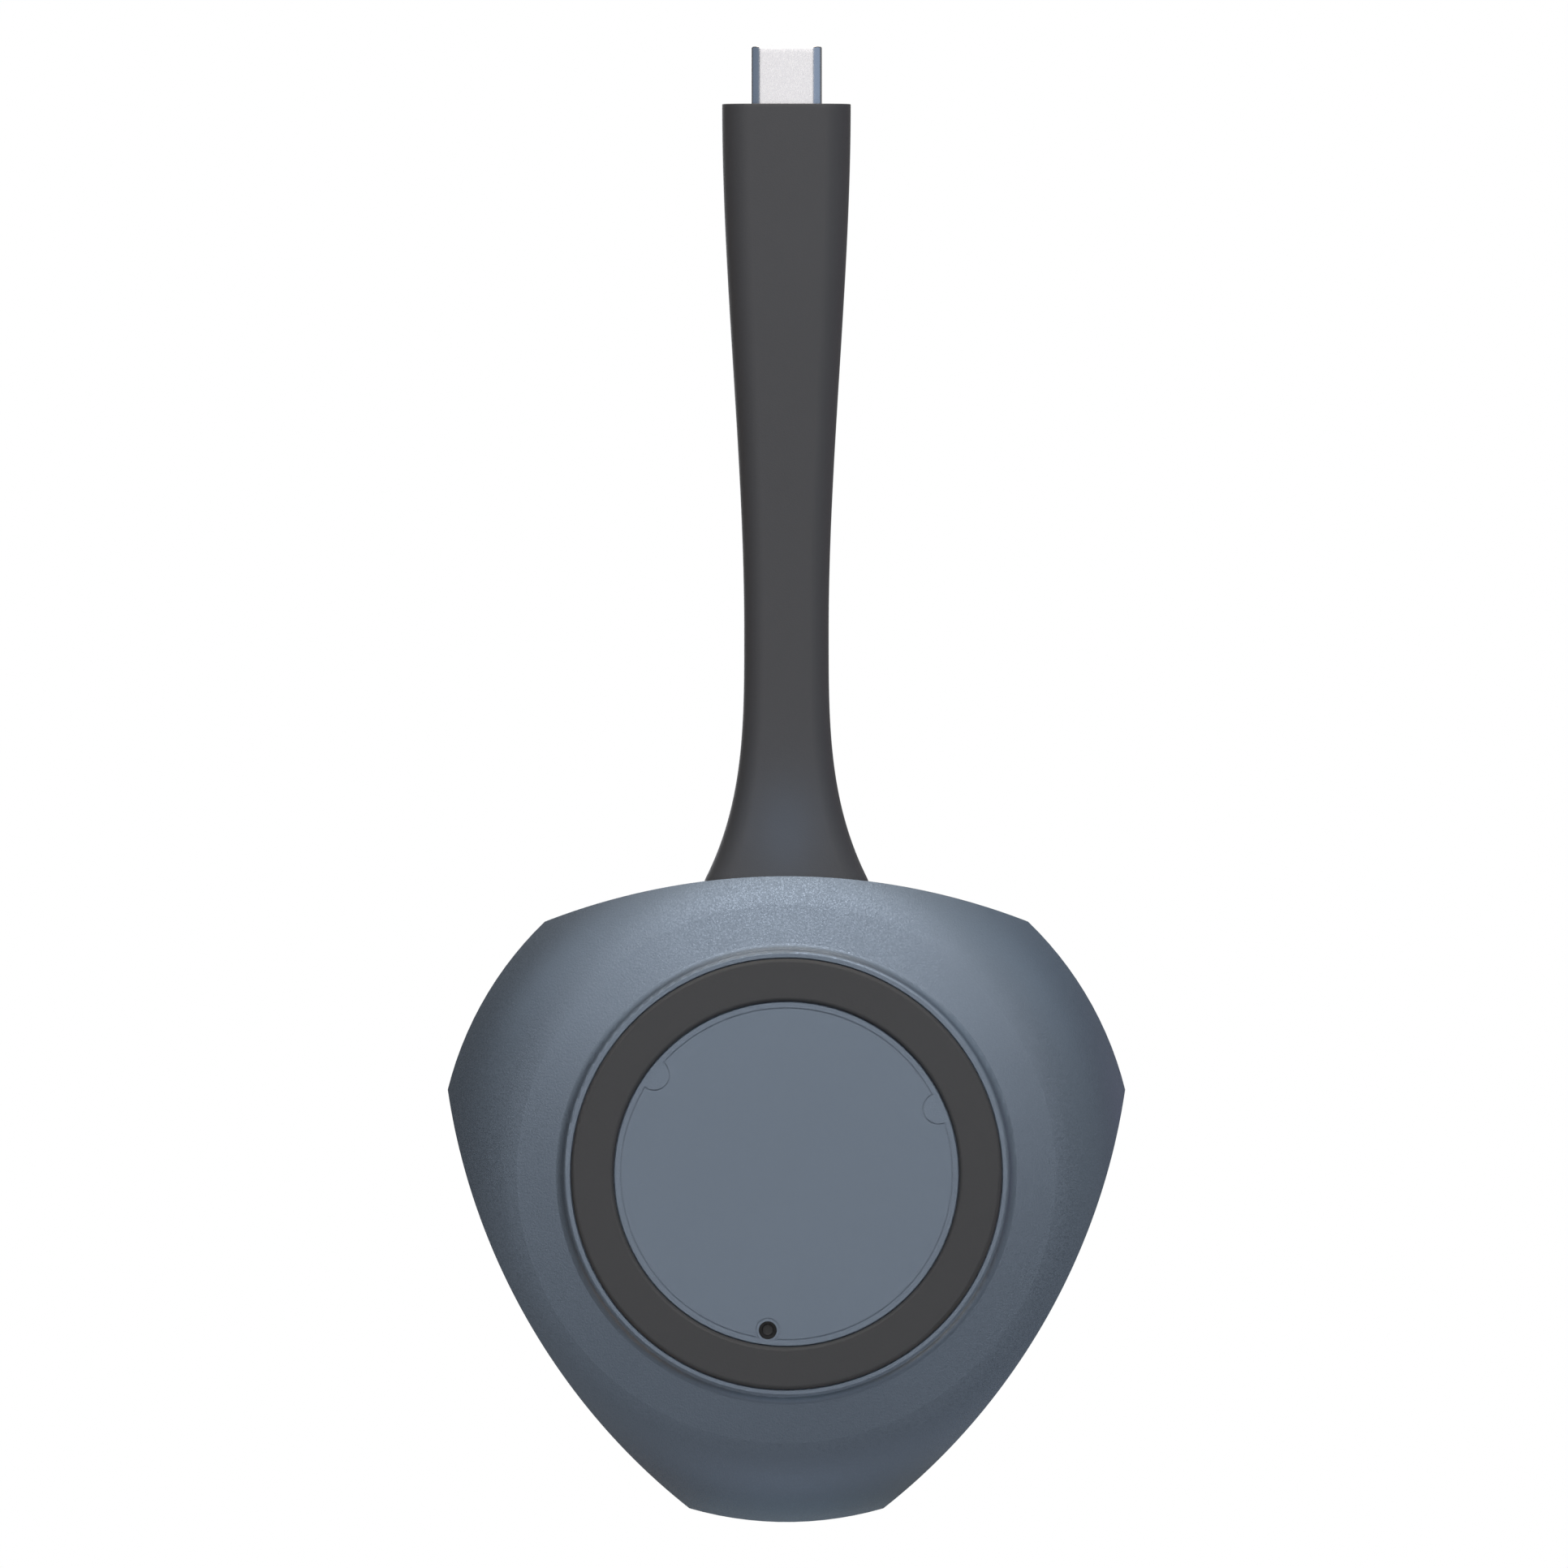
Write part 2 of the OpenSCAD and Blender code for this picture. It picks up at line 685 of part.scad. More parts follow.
module button_frame() {
    color(white_colour) difference() {
        union() {
            translate([0, 0, frame_bottom]) cylinder(r = ring_flange_r, h = frame_t, $fn = 180);
            for (turn = frame_turns) rotate([0, 0, turn]) {
                translate([ear_reach, 0, frame_bottom]) cylinder(r = frame_boss_r, h = frame_t);
                plate([ear_reach, 2 * frame_boss_r, frame_t], [ear_reach / 2, 0], frame_bottom);
                translate([pin_reach, 0, frame_top - fuse])
                    cylinder(r = pin_r + pin_gap + sleeve_wall, h = sleeve_h + fuse);
            }
        }
        translate([0, 0, frame_bottom - over])
            cylinder(r = pusher_r + pusher_hole_gap, h = frame_t + 2 * over);
        for (turn = frame_turns) rotate([0, 0, turn]) {
            translate([ear_reach, 0, frame_bottom - over])
                cylinder(r = frame_screw_r + screw_slack, h = frame_t + 2 * over);
            translate([pin_reach, 0, frame_bottom - over])
                cylinder(r = pin_r + pin_gap, h = frame_t + sleeve_h + 2 * over);
        }
        for (turn = hook_turns) rotate([0, 0, turn])
            plate([hook_t + 2 * hook_slot_gap, hook_w + 2 * hook_slot_gap, frame_t + 2 * over],
                [hook_reach, 0], frame_bottom - over);
    }
}

module led_board() {
    color(board_colour) difference() {
        union() {
            translate([0, 0, frame_top]) cylinder(r = ring_out_r, h = led_board_t, $fn = 180);
            plate([ribbon_w, ribbon_reach - ring_in_r, led_board_t],
                [ribbon_x, -(ribbon_reach + ring_in_r) / 2], frame_top);
        }
        translate([0, 0, frame_top - over]) cylinder(r = ring_in_r, h = led_board_t + 2 * over, $fn = 180);
    }
}

module led_chips() {
    color(gold_colour) for (i = [0:led_count - 1])
        rotate([0, 0, 360 / led_count * i])
            plate([led_w, led_l, led_h], [(ring_in_r + ring_out_r) / 2, 0], led_board_top);
}

module led_ribbon() {
    color(film_colour)
        plate([ribbon_w, ribbon_t, frame_top - board_top - socket_floor],
            [ribbon_x, ribbon_t / 2 - ribbon_reach], board_top + socket_floor);
}

module ribbon_socket() {
    color(white_colour) difference() {
        plate(socket_size, [ribbon_x, ribbon_t / 2 - ribbon_reach], board_top);
        plate([ribbon_w + 2 * touch_gap, ribbon_t + 2 * touch_gap, socket_size[2]],
            [ribbon_x, ribbon_t / 2 - ribbon_reach], board_top + socket_floor - touch_gap);
    }
}

// A pan-head screw that stands on its head, with a cross recess in the head
module screw(head_r, head_h, shank_r, shank_len) {
    difference() {
        union() {
            cylinder(r = head_r, h = head_h, $fn = 48);
            cylinder(r = shank_r, h = head_h + shank_len, $fn = 32);
        }
        for (turn = [0, 90]) rotate([0, 0, turn])
            plate([recess_span_share * head_r, recess_w_share * head_r, recess_depth_share * head_h + over],
                [0, 0], -over);
    }
}

module case_screws() {
    color(steel_colour) for (turn = case_turns)
        translate(polar(foot_mid_r, turn, screw_seat_z - screw_head_h))
            screw(screw_head_r, screw_head_h, case_screw_r, case_ceiling_z - screw_tip_gap - screw_seat_z);
}

module frame_screws() {
    color(steel_colour) for (turn = frame_turns)
        translate(polar(ear_reach, turn, frame_bottom - frame_head_h))
            screw(frame_head_r, frame_head_h, frame_screw_r, frame_t + frame_screw_bite);
}

module main_board() {
    color(board_colour) difference() {
        intersection() {
            outline_prism(board_inset, board_z, board_top, board_corner_r + board_inset);
            translate([-corner_r, -corner_r, board_z]) cube([2 * corner_r, corner_r + board_y1, board_t]);
        }
        for (turn = case_turns)
            translate(polar(foot_mid_r, turn, board_z - over))
                cylinder(r = case_screw_r + screw_slack, h = board_t + 2 * over);
    }
}

module switch_body() {
    color(chip_colour) difference() {
        plate([switch_w, switch_w, switch_h], [0, 0], board_top);
        translate([0, 0, switch_top - button_travel - plunger_foot - touch_gap])
            cylinder(r = plunger_r + touch_gap, h = switch_h);
    }
}

module switch_plunger() {
    color(wire_colour) translate([0, 0, switch_top - plunger_foot])
        cylinder(r = plunger_r, h = plunger_foot + plunger_h);
}

module reset_body() {
    at = polar(reset_reach, reset_turn);
    color(chip_colour) difference() {
        plate([reset_w, reset_w, reset_h], at, board_z - reset_h);
        translate([at[0], at[1], board_z - 2 * reset_h])
            cylinder(r = reset_tip_r + touch_gap, h = reset_h + reset_tip_foot + reset_travel + touch_gap);
    }
}

module reset_plunger() {
    color(chip_colour) translate(polar(reset_reach, reset_turn, board_z - reset_h - reset_tip_h))
        cylinder(r = reset_tip_r, h = reset_tip_h + reset_tip_foot);
}

module radio_shield() {
    color(steel_colour) difference() {
        plate(can_size, can_at, board_top);
        plate([can_size[0] - 2 * can_wall, can_size[1] - 2 * can_wall, can_size[2]], can_at,
            board_top - can_wall);
    }
}

// Chips that stand on the main board
module chips(size, places, colour = chip_colour) {
    color(colour) for (at = places) plate(size, at, board_top);
}

module passives() {
    color(film_colour) for (i = [0:passive_columns - 1], j = [0:passive_rows - 1])
        plate(passive_size, [passive_at[0] + i * passive_pitch[0], passive_at[1] + j * passive_pitch[1]],
            board_top);
}

module processor() {
    color(chip_colour) plate(processor_size, processor_at, board_z - processor_size[2]);
}

module thermal_pad() {
    color(pad_colour) plate([processor_size[0], processor_size[1], pad_t], processor_at,
        board_z - processor_size[2] - pad_t);
}

module heat_plate() {
    color(plate_colour) plate([plate_size[0], plate_size[1], plate_t], processor_at, floor_z + plate_rib_h);
}

// Stamped antenna: a plate on two legs, the ground leg at its end and the feed leg beside it
module antenna(side) {
    color(gold_colour) {
        plate(antenna_size, [side * antenna_at[0], antenna_at[1]], board_top + antenna_lift);
        for (offset = antenna_leg_at)
            plate([antenna_leg, antenna_size[2], antenna_lift + antenna_size[2]],
                [side * antenna_at[0], antenna_at[1] + offset], board_top);
    }
}

module cable_header() {
    y1 = housing_y0 - fit_gap;
    color(white_colour) difference() {
        bar(header_size[0], header_size[2], y1 - header_size[1], y1, header_mid);
        bar(header_pocket[0], header_pocket[2], y1 - header_pocket[1], y1 + over, header_mid);
    }
}

module cable_housing() {
    color(white_colour) {
        bar(housing_size[0], housing_size[2], housing_y0, housing_y1, header_mid);
        bar(housing_nose[0], housing_nose[2], housing_y0 - housing_nose[1], housing_y0 + fuse, header_mid);
    }
}

module rod(from, to, r) {
    along = to - from;
    translate(from)
        rotate([0, acos(along[2] / norm(along)), atan2(along[1], along[0])])
            cylinder(r = r, h = norm(along), $fn = 24);
}

// The cable's wires fan out from its end to the housing
module cable_wires() {
    middle = (wire_count - 1) / 2;
    color(wire_colour) for (i = [0:wire_count - 1])
        rod([(i - middle) * wire_pitch, housing_y1 + wire_clear, header_mid],
            [(i - middle) * wire_end_pitch, core_y0 - wire_clear, neck_z], wire_r);
}

module cable_core() {
    color(chip_colour) rod_y(cable_r, core_y0, core_y1);
}

// Half width and half thickness of the neck at a distance along Y
function smooth(t) = t * t * (3 - 2 * t);
function neck_share(y) = min(max((y - waist_y) / (neck_y1 - waist_y), 0), 1);
function flare_share(y) = min(max((waist_y - y) / waist_at, 0), 1);
function neck_half(y, base, waist, head) =
    (waist + (base - waist) * pow(flare_share(y), flare_power) + (head - waist) * smooth(neck_share(y))) / 2;
// Outline of the neck at a distance along Y, clockwise as seen from the casing
function neck_ring(y) =
    let (hw = neck_half(y, base_w, waist_w, head_w), ht = neck_half(y, base_t, waist_t, head_t))
    [for (i = [0:neck_sides - 1])
        let (a = -360 * (i + 0.5) / neck_sides)
        [sign(cos(a)) * (hw - ht) + ht * cos(a), y, neck_z + ht * sin(a)]];

// Closed skin through rings of as many points each
module skin(rings) {
    n = len(rings[0]);
    last = len(rings) - 1;
    polyhedron(
        points = [for (ring = rings) for (p = ring) p],
        faces = concat(
            [[for (i = [0:n - 1]) i]],
            [[for (i = [0:n - 1]) last * n + n - 1 - i]],
            [for (j = [0:last - 1], i = [0:n - 1]) [j * n + i, (j + 1) * n + i, j * n + (i + 1) % n]],
            [for (j = [0:last - 1], i = [0:n - 1])
                [j * n + (i + 1) % n, (j + 1) * n + i, (j + 1) * n + (i + 1) % n]]));
}

module neck_span(y0, y1, steps) {
    skin([for (i = [0:steps]) neck_ring(y0 + (y1 - y0) * i / steps)]);
}

module neck_root() {
    color(neck_colour) difference() {
        union() {
            neck_span(flange_y1 - fuse, flex_y0, root_steps);
            bar(2 * flange_half_w, flange_z1 - flange_z0, flange_y0, flange_y1, (flange_z0 + flange_z1) / 2);
        }
        rod_y(cable_r + touch_gap, flange_y0 - over, flex_y0 + over);
    }
}

module neck_flex() {
    color(neck_colour) difference() {
        neck_span(flex_y0, flex_y1, flex_steps);
        rod_y(cable_r + touch_gap, flex_y0 - over, flex_y1 + over);
    }
}

module neck_head() {
    color(neck_colour) difference() {
        neck_span(flex_y1, neck_y1, head_steps);
        rod_y(cable_r + touch_gap, flex_y1 - over, shield_y0 + over);
        bar(shield_w + 2 * touch_gap, shield_t + 2 * touch_gap,
            shield_y0 - touch_gap, shield_y1 + touch_gap);
        round_bar(plug_w + 2 * touch_gap, plug_t + 2 * touch_gap, shield_y1, neck_y1 + over);
    }
}

module plug_shield() {
    color(steel_colour) difference() {
        bar(shield_w, shield_t, shield_y0, shield_y1);
        bar(shield_w - 2 * shield_wall, shield_t - 2 * shield_wall, shield_y0 - over, shield_y1 + over);
    }
}

module inner_mould() {
    thin = 2 * (shield_wall + touch_gap);
    color(white_colour) difference() {
        bar(shield_w - thin, shield_t - thin, shield_y0, shield_y1);
        rod_y(cable_r + touch_gap, shield_y0 - over, core_y1 + touch_gap);
        bar(paddle_size[0] + 2 * touch_gap, paddle_pocket_t, core_y1, paddle_y1 + touch_gap);
        round_bar(plug_w + 2 * touch_gap, plug_t + 2 * touch_gap, paddle_y1, shield_y1 + over);
    }
}

module paddle_board() {
    color(board_colour) bar(paddle_size[0], paddle_size[2], paddle_y0, paddle_y1);
}

module marker_chip() {
    middle = (paddle_y0 + paddle_y1) / 2;
    color(chip_colour)
        bar(marker_size[0], marker_size[2], middle - marker_size[1] / 2, middle + marker_size[1] / 2,
            neck_z - (paddle_size[2] + marker_size[2]) / 2);
}

module plug_wires() {
    color(wire_colour) for (i = [0:plug_wire_count - 1])
        translate([(i - (plug_wire_count - 1) / 2) * plug_wire_pitch, 0, paddle_size[2] / 2 + plug_wire_r])
            rod_y(plug_wire_r, core_y1, core_y1 + plug_wire_len);
}

module plug_shell() {
    color(steel_colour) difference() {
        round_bar(plug_w, plug_t, shell_y0, plug_y1);
        round_bar(plug_w - 2 * plug_wall, plug_t - 2 * plug_wall, shell_y0 - over, plug_y1 + over);
    }
}

module plug_insulator() {
    thin = 2 * (plug_wall + insulator_gap);
    color(chip_colour) difference() {
        round_bar(plug_w - thin, plug_t - thin, insulator_y1 - insulator_len, insulator_y1);
        bar(mouth_w, mouth_t, insulator_y1 - mouth_depth, insulator_y1 + over);
    }
}

module contact_row(side) {
    color(gold_colour) for (i = [0:contact_count - 1])
        translate([(i - (contact_count - 1) / 2) * contact_pitch, 0, 0])
            bar(contact_w, contact_t, insulator_y1 - mouth_depth, insulator_y1 - contact_sink,
                neck_z + side * (mouth_t - contact_t) / 2);
}

module plug_latches() {
    color(steel_colour) for (side = [-1, 1])
        translate([side * (mouth_w - latch_w) / 2, 0, 0])
            bar(latch_w, latch_t, insulator_y1 - contact_sink - latch_len, insulator_y1 - contact_sink);
}

module button_cap() {
    dish_sphere_r = (dish_r * dish_r + dish_depth * dish_depth) / (2 * dish_depth);
    dish_z = cap_top - dish_depth + dish_sphere_r;
    half_angle = asin(dish_r / dish_sphere_r);
    color(shell_colour) {
        rotate_extrude($fn = 180)
            polygon(concat(
                [[0, cap_under], [cap_r - skirt_w, cap_under], [cap_r - skirt_w, skirt_bottom],
                    [cap_r, skirt_bottom]],
                arc(cap_r - cap_round, cap_top - cap_round, cap_round, 0, 90, round_steps),
                arc(0, dish_z, dish_sphere_r, half_angle - 90, -90, dish_steps)));
        translate([0, 0, plunger_top + plunger_gap])
            cylinder(r = pusher_r, h = cap_under + fuse - plunger_top - plunger_gap);
        for (turn = frame_turns)
            translate(polar(pin_reach, turn, frame_bottom - pin_below))
                cylinder(r = pin_r, h = cap_under + fuse - frame_bottom + pin_below, $fn = 48);
        for (turn = hook_turns) rotate([0, 0, turn]) {
            barb_z = frame_bottom - touch_gap - hook_barb_h;
            plate([hook_t, hook_w, cap_under + fuse - barb_z], [hook_reach, 0], barb_z);
            plate([hook_t / 2 + hook_barb, hook_w, hook_barb_h],
                [hook_reach + (hook_t / 2 + hook_barb) / 2, 0], barb_z);
        }
    }
}

// Compression springs round the guide sleeves, each one tube swept along a helix
module button_springs() {
    z0 = frame_top + spring_wire_r;
    rise = cap_under - frame_top - 2 * spring_wire_r;
    count = spring_turns * spring_steps;
    function helix(i) = polar(spring_r, 360 * i / spring_steps, z0 + rise * i / count);
    function ring(i) =
        [for (k = [0:spring_sides - 1])
            let (a = 360 * k / spring_sides)
            helix(i) + spring_wire_r * (cos(a) * polar(1, 360 * i / spring_steps) + sin(a) * [0, 0, 1])];
    color(steel_colour) for (turn = frame_turns)
        translate(polar(pin_reach, turn)) skin([for (i = [0:count]) ring(i)]);
}

rear_shell();
front_shell();
foot_ring();
foot_tape();
rating_label();
light_ring();
button_frame();
led_board();
led_chips();
led_ribbon();
ribbon_socket();
frame_screws();
case_screws();
main_board();
switch_body();
reset_body();
radio_shield();
chips(radio_size, [can_at]);  // radio_chip
chips(memory_size, [memory_at]);  // memory_chip
chips(power_size, power_at);  // power_chips
chips(crystal_size, [crystal_at], steel_colour);  // crystal
passives();
processor();
thermal_pad();
heat_plate();
antenna(-1);  // antenna_left
antenna(1);  // antenna_right
cable_header();
cable_housing();
cable_wires();
cable_core();
neck_root();
neck_flex();
button_springs();
button_cap();
switch_plunger();
reset_plunger();
neck_head();
plug_shield();
inner_mould();
paddle_board();
marker_chip();
plug_wires();
plug_shell();
plug_insulator();
contact_row(1);  // contacts_upper
contact_row(-1);  // contacts_lower
plug_latches();
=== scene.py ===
# %% [markdown]
# # A wireless presentation dongle
#
# A slate-coloured puck with a push button stands on a rubber foot ring, and a flexible strap with a
# USB Type-C plug grows out of its side. The solids come from the CAD model, which is loaded as a
# fixed frame. This lesson gives them their finishes and models the pieces that bend or flex.
#
# Everything here is in metres, so sizes are written as millimetres times `MM`.

# %% Load the CAD model
import json
import math

import bmesh
import bpy
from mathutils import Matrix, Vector


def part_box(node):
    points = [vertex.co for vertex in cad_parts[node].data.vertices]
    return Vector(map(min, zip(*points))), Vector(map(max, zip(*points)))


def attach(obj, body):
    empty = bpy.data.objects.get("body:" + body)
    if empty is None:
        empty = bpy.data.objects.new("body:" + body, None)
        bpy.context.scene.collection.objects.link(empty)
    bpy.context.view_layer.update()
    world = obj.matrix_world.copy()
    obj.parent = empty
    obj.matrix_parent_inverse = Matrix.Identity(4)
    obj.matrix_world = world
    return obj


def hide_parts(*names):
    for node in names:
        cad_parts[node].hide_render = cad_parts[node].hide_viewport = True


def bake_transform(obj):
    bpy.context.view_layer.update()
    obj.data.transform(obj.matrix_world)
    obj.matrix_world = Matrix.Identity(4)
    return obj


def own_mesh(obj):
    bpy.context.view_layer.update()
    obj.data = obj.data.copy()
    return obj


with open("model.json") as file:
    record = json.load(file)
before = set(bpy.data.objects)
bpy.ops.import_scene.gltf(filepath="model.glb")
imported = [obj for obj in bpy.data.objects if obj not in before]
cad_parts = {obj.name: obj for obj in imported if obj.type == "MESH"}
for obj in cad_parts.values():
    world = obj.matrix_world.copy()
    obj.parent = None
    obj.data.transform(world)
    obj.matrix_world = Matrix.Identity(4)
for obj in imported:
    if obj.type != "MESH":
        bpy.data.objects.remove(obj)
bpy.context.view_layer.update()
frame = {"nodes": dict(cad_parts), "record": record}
MM = 0.001

# %% [markdown]
# ## The camera
#
# A mesh, a lamp or a camera is data until an object carries it, so `in_scene` makes that object.
#
# The picture shows the underside with the plug at the top, almost without perspective, so the lens
# is long and stands well back. The camera lies under the dongle and looks straight up, which a half
# turn about Y does: image up stays +Y, and image right becomes -X.
#
# The frame is 181.6 mm wide at the height of the puck's widest part. Distance follows from the
# lens, so that changing the lens keeps the framing.

# %% Camera
def in_scene(name, data):
    """A new object with this data, linked to the scene."""
    thing = bpy.data.objects.new(name, data)
    bpy.context.scene.collection.objects.link(thing)
    return thing


FRAME_SIDE = 181.6 * MM
FRAME_MIDDLE_X = 0.282 * MM
FRAME_MIDDLE_Y = 45.07 * MM
WIDEST_Z = 9.0 * MM
LENS = 800
SENSOR = 36
camera_distance = FRAME_SIDE * LENS / SENSOR
camera_data = bpy.data.cameras.new("underside_camera")
camera_data.lens = LENS
camera_data.sensor_width = SENSOR
camera_data.clip_start = 0.01
camera = in_scene("underside_camera", camera_data)
camera.location = (FRAME_MIDDLE_X, FRAME_MIDDLE_Y, WIDEST_Z - camera_distance)
camera.rotation_euler = (0, math.pi, 0)
bpy.context.scene.camera = camera
bpy.context.scene.view_settings.view_transform = "Standard"
print("camera distance, mm:", round(camera_distance / MM))

# %% [markdown]
# ## Helpers for nodes
#
# Colours are picked as sRGB hex codes, as a paint program shows them. Shaders calculate with linear
# light, so `srgb` converts them. `add` puts one node in a tree. An input may be a plain value,
# another node's socket, or a node, whose first output is then used. `new_finish` starts a material.

# %% Node helpers
def srgb(code):
    """Linear RGBA of an sRGB hex code."""
    parts = [int(code[i:i + 2], 16) / 255 for i in (1, 3, 5)]
    linear = [c / 12.92 if c <= 0.04045 else ((c + 0.055) / 1.055) ** 2.4 for c in parts]
    return (*linear, 1)


def add(tree, kind, inputs=None, **settings):
    """Adds a node with its settings, values and links."""
    node = tree.nodes.new(kind)
    for name, value in settings.items():
        setattr(node, name, value)
    for key, value in (inputs or {}).items():
        if isinstance(value, bpy.types.Node):
            value = value.outputs[0]
        if isinstance(value, bpy.types.NodeSocket):
            tree.links.new(value, node.inputs[key])
        else:
            node.inputs[key].default_value = value
    return node


def new_finish(name, **sockets):
    """A material with one Principled shader. Socket names have underscores for spaces."""
    material = bpy.data.materials.new(name)
    material.use_nodes = True
    shader = material.node_tree.nodes["Principled BSDF"]
    for key, value in sockets.items():
        shader.inputs[key.replace("_", " ")].default_value = value
    print("finish:", name)
    return material, material.node_tree, shader


# %% [markdown]
# ## Floor, world and lamps
#
# The dongle stands on a plain pale floor. The picture is taken from below it, so the floor's
# underside lets the camera and the lamps through: the shader mixes to transparent on its back face.

# %% Floor
HALF_FLOOR = 2.5
FLOOR_Z = -0.05 * MM
SQUARE = [(-1, -1), (1, -1), (1, 1), (-1, 1)]
floor_mesh = bpy.data.meshes.new("floor")
floor_mesh.from_pydata([(x * HALF_FLOOR, y * HALF_FLOOR, FLOOR_Z) for x, y in SQUARE], [],
                       [(0, 1, 2, 3)])
floor = in_scene("floor", floor_mesh)
pale, tree, shader = new_finish("pale_paper_floor", Base_Color=srgb("#f1f1ef"), Roughness=0.8)
facing = add(tree, "ShaderNodeNewGeometry")
clear = add(tree, "ShaderNodeBsdfTransparent")
mix = add(tree, "ShaderNodeMixShader", {0: facing.outputs["Backfacing"], 1: shader, 2: clear})
tree.links.new(mix.outputs[0], tree.nodes["Material Output"].inputs["Surface"])
floor.data.materials.append(pale)
floor.visible_shadow = floor.visible_diffuse = floor.visible_glossy = False

# %% [markdown]
# The world is pure white where the camera sees it, as the picture's background is. For what it
# lights it is a soft ceiling over the button's side and almost black below and at the sides, so the
# puck's steep rim can fall dark. How bright it is follows from how far up a ray goes.

# %% World
world = bpy.data.worlds.new("studio")
world.use_nodes = True
bpy.context.scene.world = world
tree = world.node_tree
seen = add(tree, "ShaderNodeBackground", {"Color": srgb("#ffffff"), "Strength": 1.0})
lit = tree.nodes["Background"]
lit.inputs["Color"].default_value = srgb("#ffffff")
direction = add(tree, "ShaderNodeTexCoord").outputs["Generated"]
upwards = add(tree, "ShaderNodeSeparateXYZ", {0: direction}).outputs["Z"]
ceiling = add(tree, "ShaderNodeMapRange", {"Value": upwards, "From Min": 0.35, "From Max": 0.9,
                                           "To Min": 0.02, "To Max": 0.6})
tree.links.new(ceiling.outputs[0], lit.inputs["Strength"])
ray = add(tree, "ShaderNodeLightPath")
mix = add(tree, "ShaderNodeMixShader", {0: ray.outputs["Is Camera Ray"], 1: lit, 2: seen})
tree.links.new(mix.outputs[0], tree.nodes["World Output"].inputs["Surface"])
print("world:", world.name)

# %% [markdown]
# Softboxes shape the puck. All stand 1 m from a point in the puck near the strap and face it:
#
# - A key light stands 32 degrees off the line of sight on the strap's side. It draws the light band
#   along the puck's upper edge.
# - A weak card straight below is what the plug's flat face reflects. The camera sees through it.
# - A ring of weak fills at 60 degrees evens out the dome, and edge lights at 80 degrees reach its
#   slopes.
# - Rim lights at 105 degrees stand a little above the puck's middle plane, so only the steep rim
#   mirrors them.
# - Two lamps light the button's side, which the picture doesn't show.

# %% Lamps
def area_lamp(name, middle, away, size, watts, colour):
    """A softbox that stands `away` from `middle` and faces it. The camera doesn't see it."""
    data = bpy.data.lights.new(name, "AREA")
    data.size = size
    data.energy = watts
    data.color = srgb(colour)[:3]
    lamp = in_scene(name, data)
    lamp.location = middle + away
    lamp.rotation_euler = away.to_track_quat("Z", "Y").to_euler()
    lamp.visible_camera = False
    return lamp


# Name, tilt away from straight below, turn about Z from the strap's side, watts, colour. With a
# tilt over 90 degrees a lamp stands above the dongle, on the button's side.
LAMPS = [
    ("camera_side_card", 0, 0, 1.5, "#fefeff"),
    ("strap_side_key", 32, 0, 7.25, "#fffbf6"),
    ("strap_side_low_fill", 60, 0, 1.5, "#fff8ea"),
    ("upper_left_fill", 60, 45, 1.42, "#f6fcff"),
    ("lower_left_fill", 60, 135, 0.46, "#fffaec"),
    ("lower_fill", 60, 180, 1.01, "#f7f8ff"),
    ("lower_right_fill", 60, 225, 0.44, "#ecf2ff"),
    ("right_fill", 60, 270, 0.43, "#f6fefb"),
    ("upper_right_fill", 60, 315, 1.23, "#f2fbff"),
    ("upper_edge_light", 80, 0, 1.5, "#fff0d8"),
    ("lower_edge_light", 80, 180, 0.23, "#acdeff"),
    ("lower_right_edge_light", 80, 225, 0.89, "#fcfcff"),
    ("upper_right_edge_light", 80, 315, 0.38, "#cfecff"),
    ("upper_rim", 105, 0, 7.6, "#fff0e0"),
    ("lower_left_rim", 105, 135, 2.3, "#ffd4aa"),
    ("lower_rim", 105, 180, 0.88, "#e6faff"),
    ("lower_right_rim", 105, 225, 1.9, "#ffdc9f"),
    ("right_rim", 105, 270, 0.64, "#f7deff"),
    ("upper_right_rim", 105, 315, 0.30, "#aadbff"),
    ("button_key", 150, 200, 6.0, "#ffffff"),
    ("button_fill", 160, 60, 2.5, "#f4f8ff"),
]
LAMP_SIZE = 0.55
AIM = Vector((0, 30 * MM, 5 * MM))
for name, tilt, turn, watts, colour in LAMPS:
    tilt, turn = math.radians(tilt), math.radians(turn)
    away = Vector((math.sin(tilt) * math.sin(turn), math.sin(tilt) * math.cos(turn),
                   -math.cos(tilt)))
    area_lamp(name, AIM, away, LAMP_SIZE, watts, colour)
print("lamps:", len(LAMPS))

# %% [markdown]
# ## Finishes of the casing
#
# Both shells and the button are ABS, injection moulded in a spark-eroded tool and sprayed with a
# satin lacquer that holds fine aluminium flakes. The flakes lie along the surface, so the lacquer
# is brighter where it mirrors a lamp and falls darker towards a steep rim than plain plastic does:
# the shader is 0.6 metallic. The tool's tiny craters show through as a fine, even grain of about
# 0.2 mm, so it is drawn as a noise of that size, once as bump and once as a small change of
# roughness. A second, broad noise with clouds of about 22 mm varies the colour a little.
#
# On the shells the flakes also sparkle where the light is strong: dots 0.25 mm apart are smoother
# than the lacquer between them, so they stand out only where a lamp is mirrored.
#
# The pattern reads Object coordinates. The pieces stand at the origin with their place in the mesh,
# so the pattern keeps to the piece when it moves.

# %% Moulded plastics
FLAKE_SPACING = 0.25 * MM
CLOUDS_PER_METRE = 45.0
MOULDED_SPREAD = 0.05


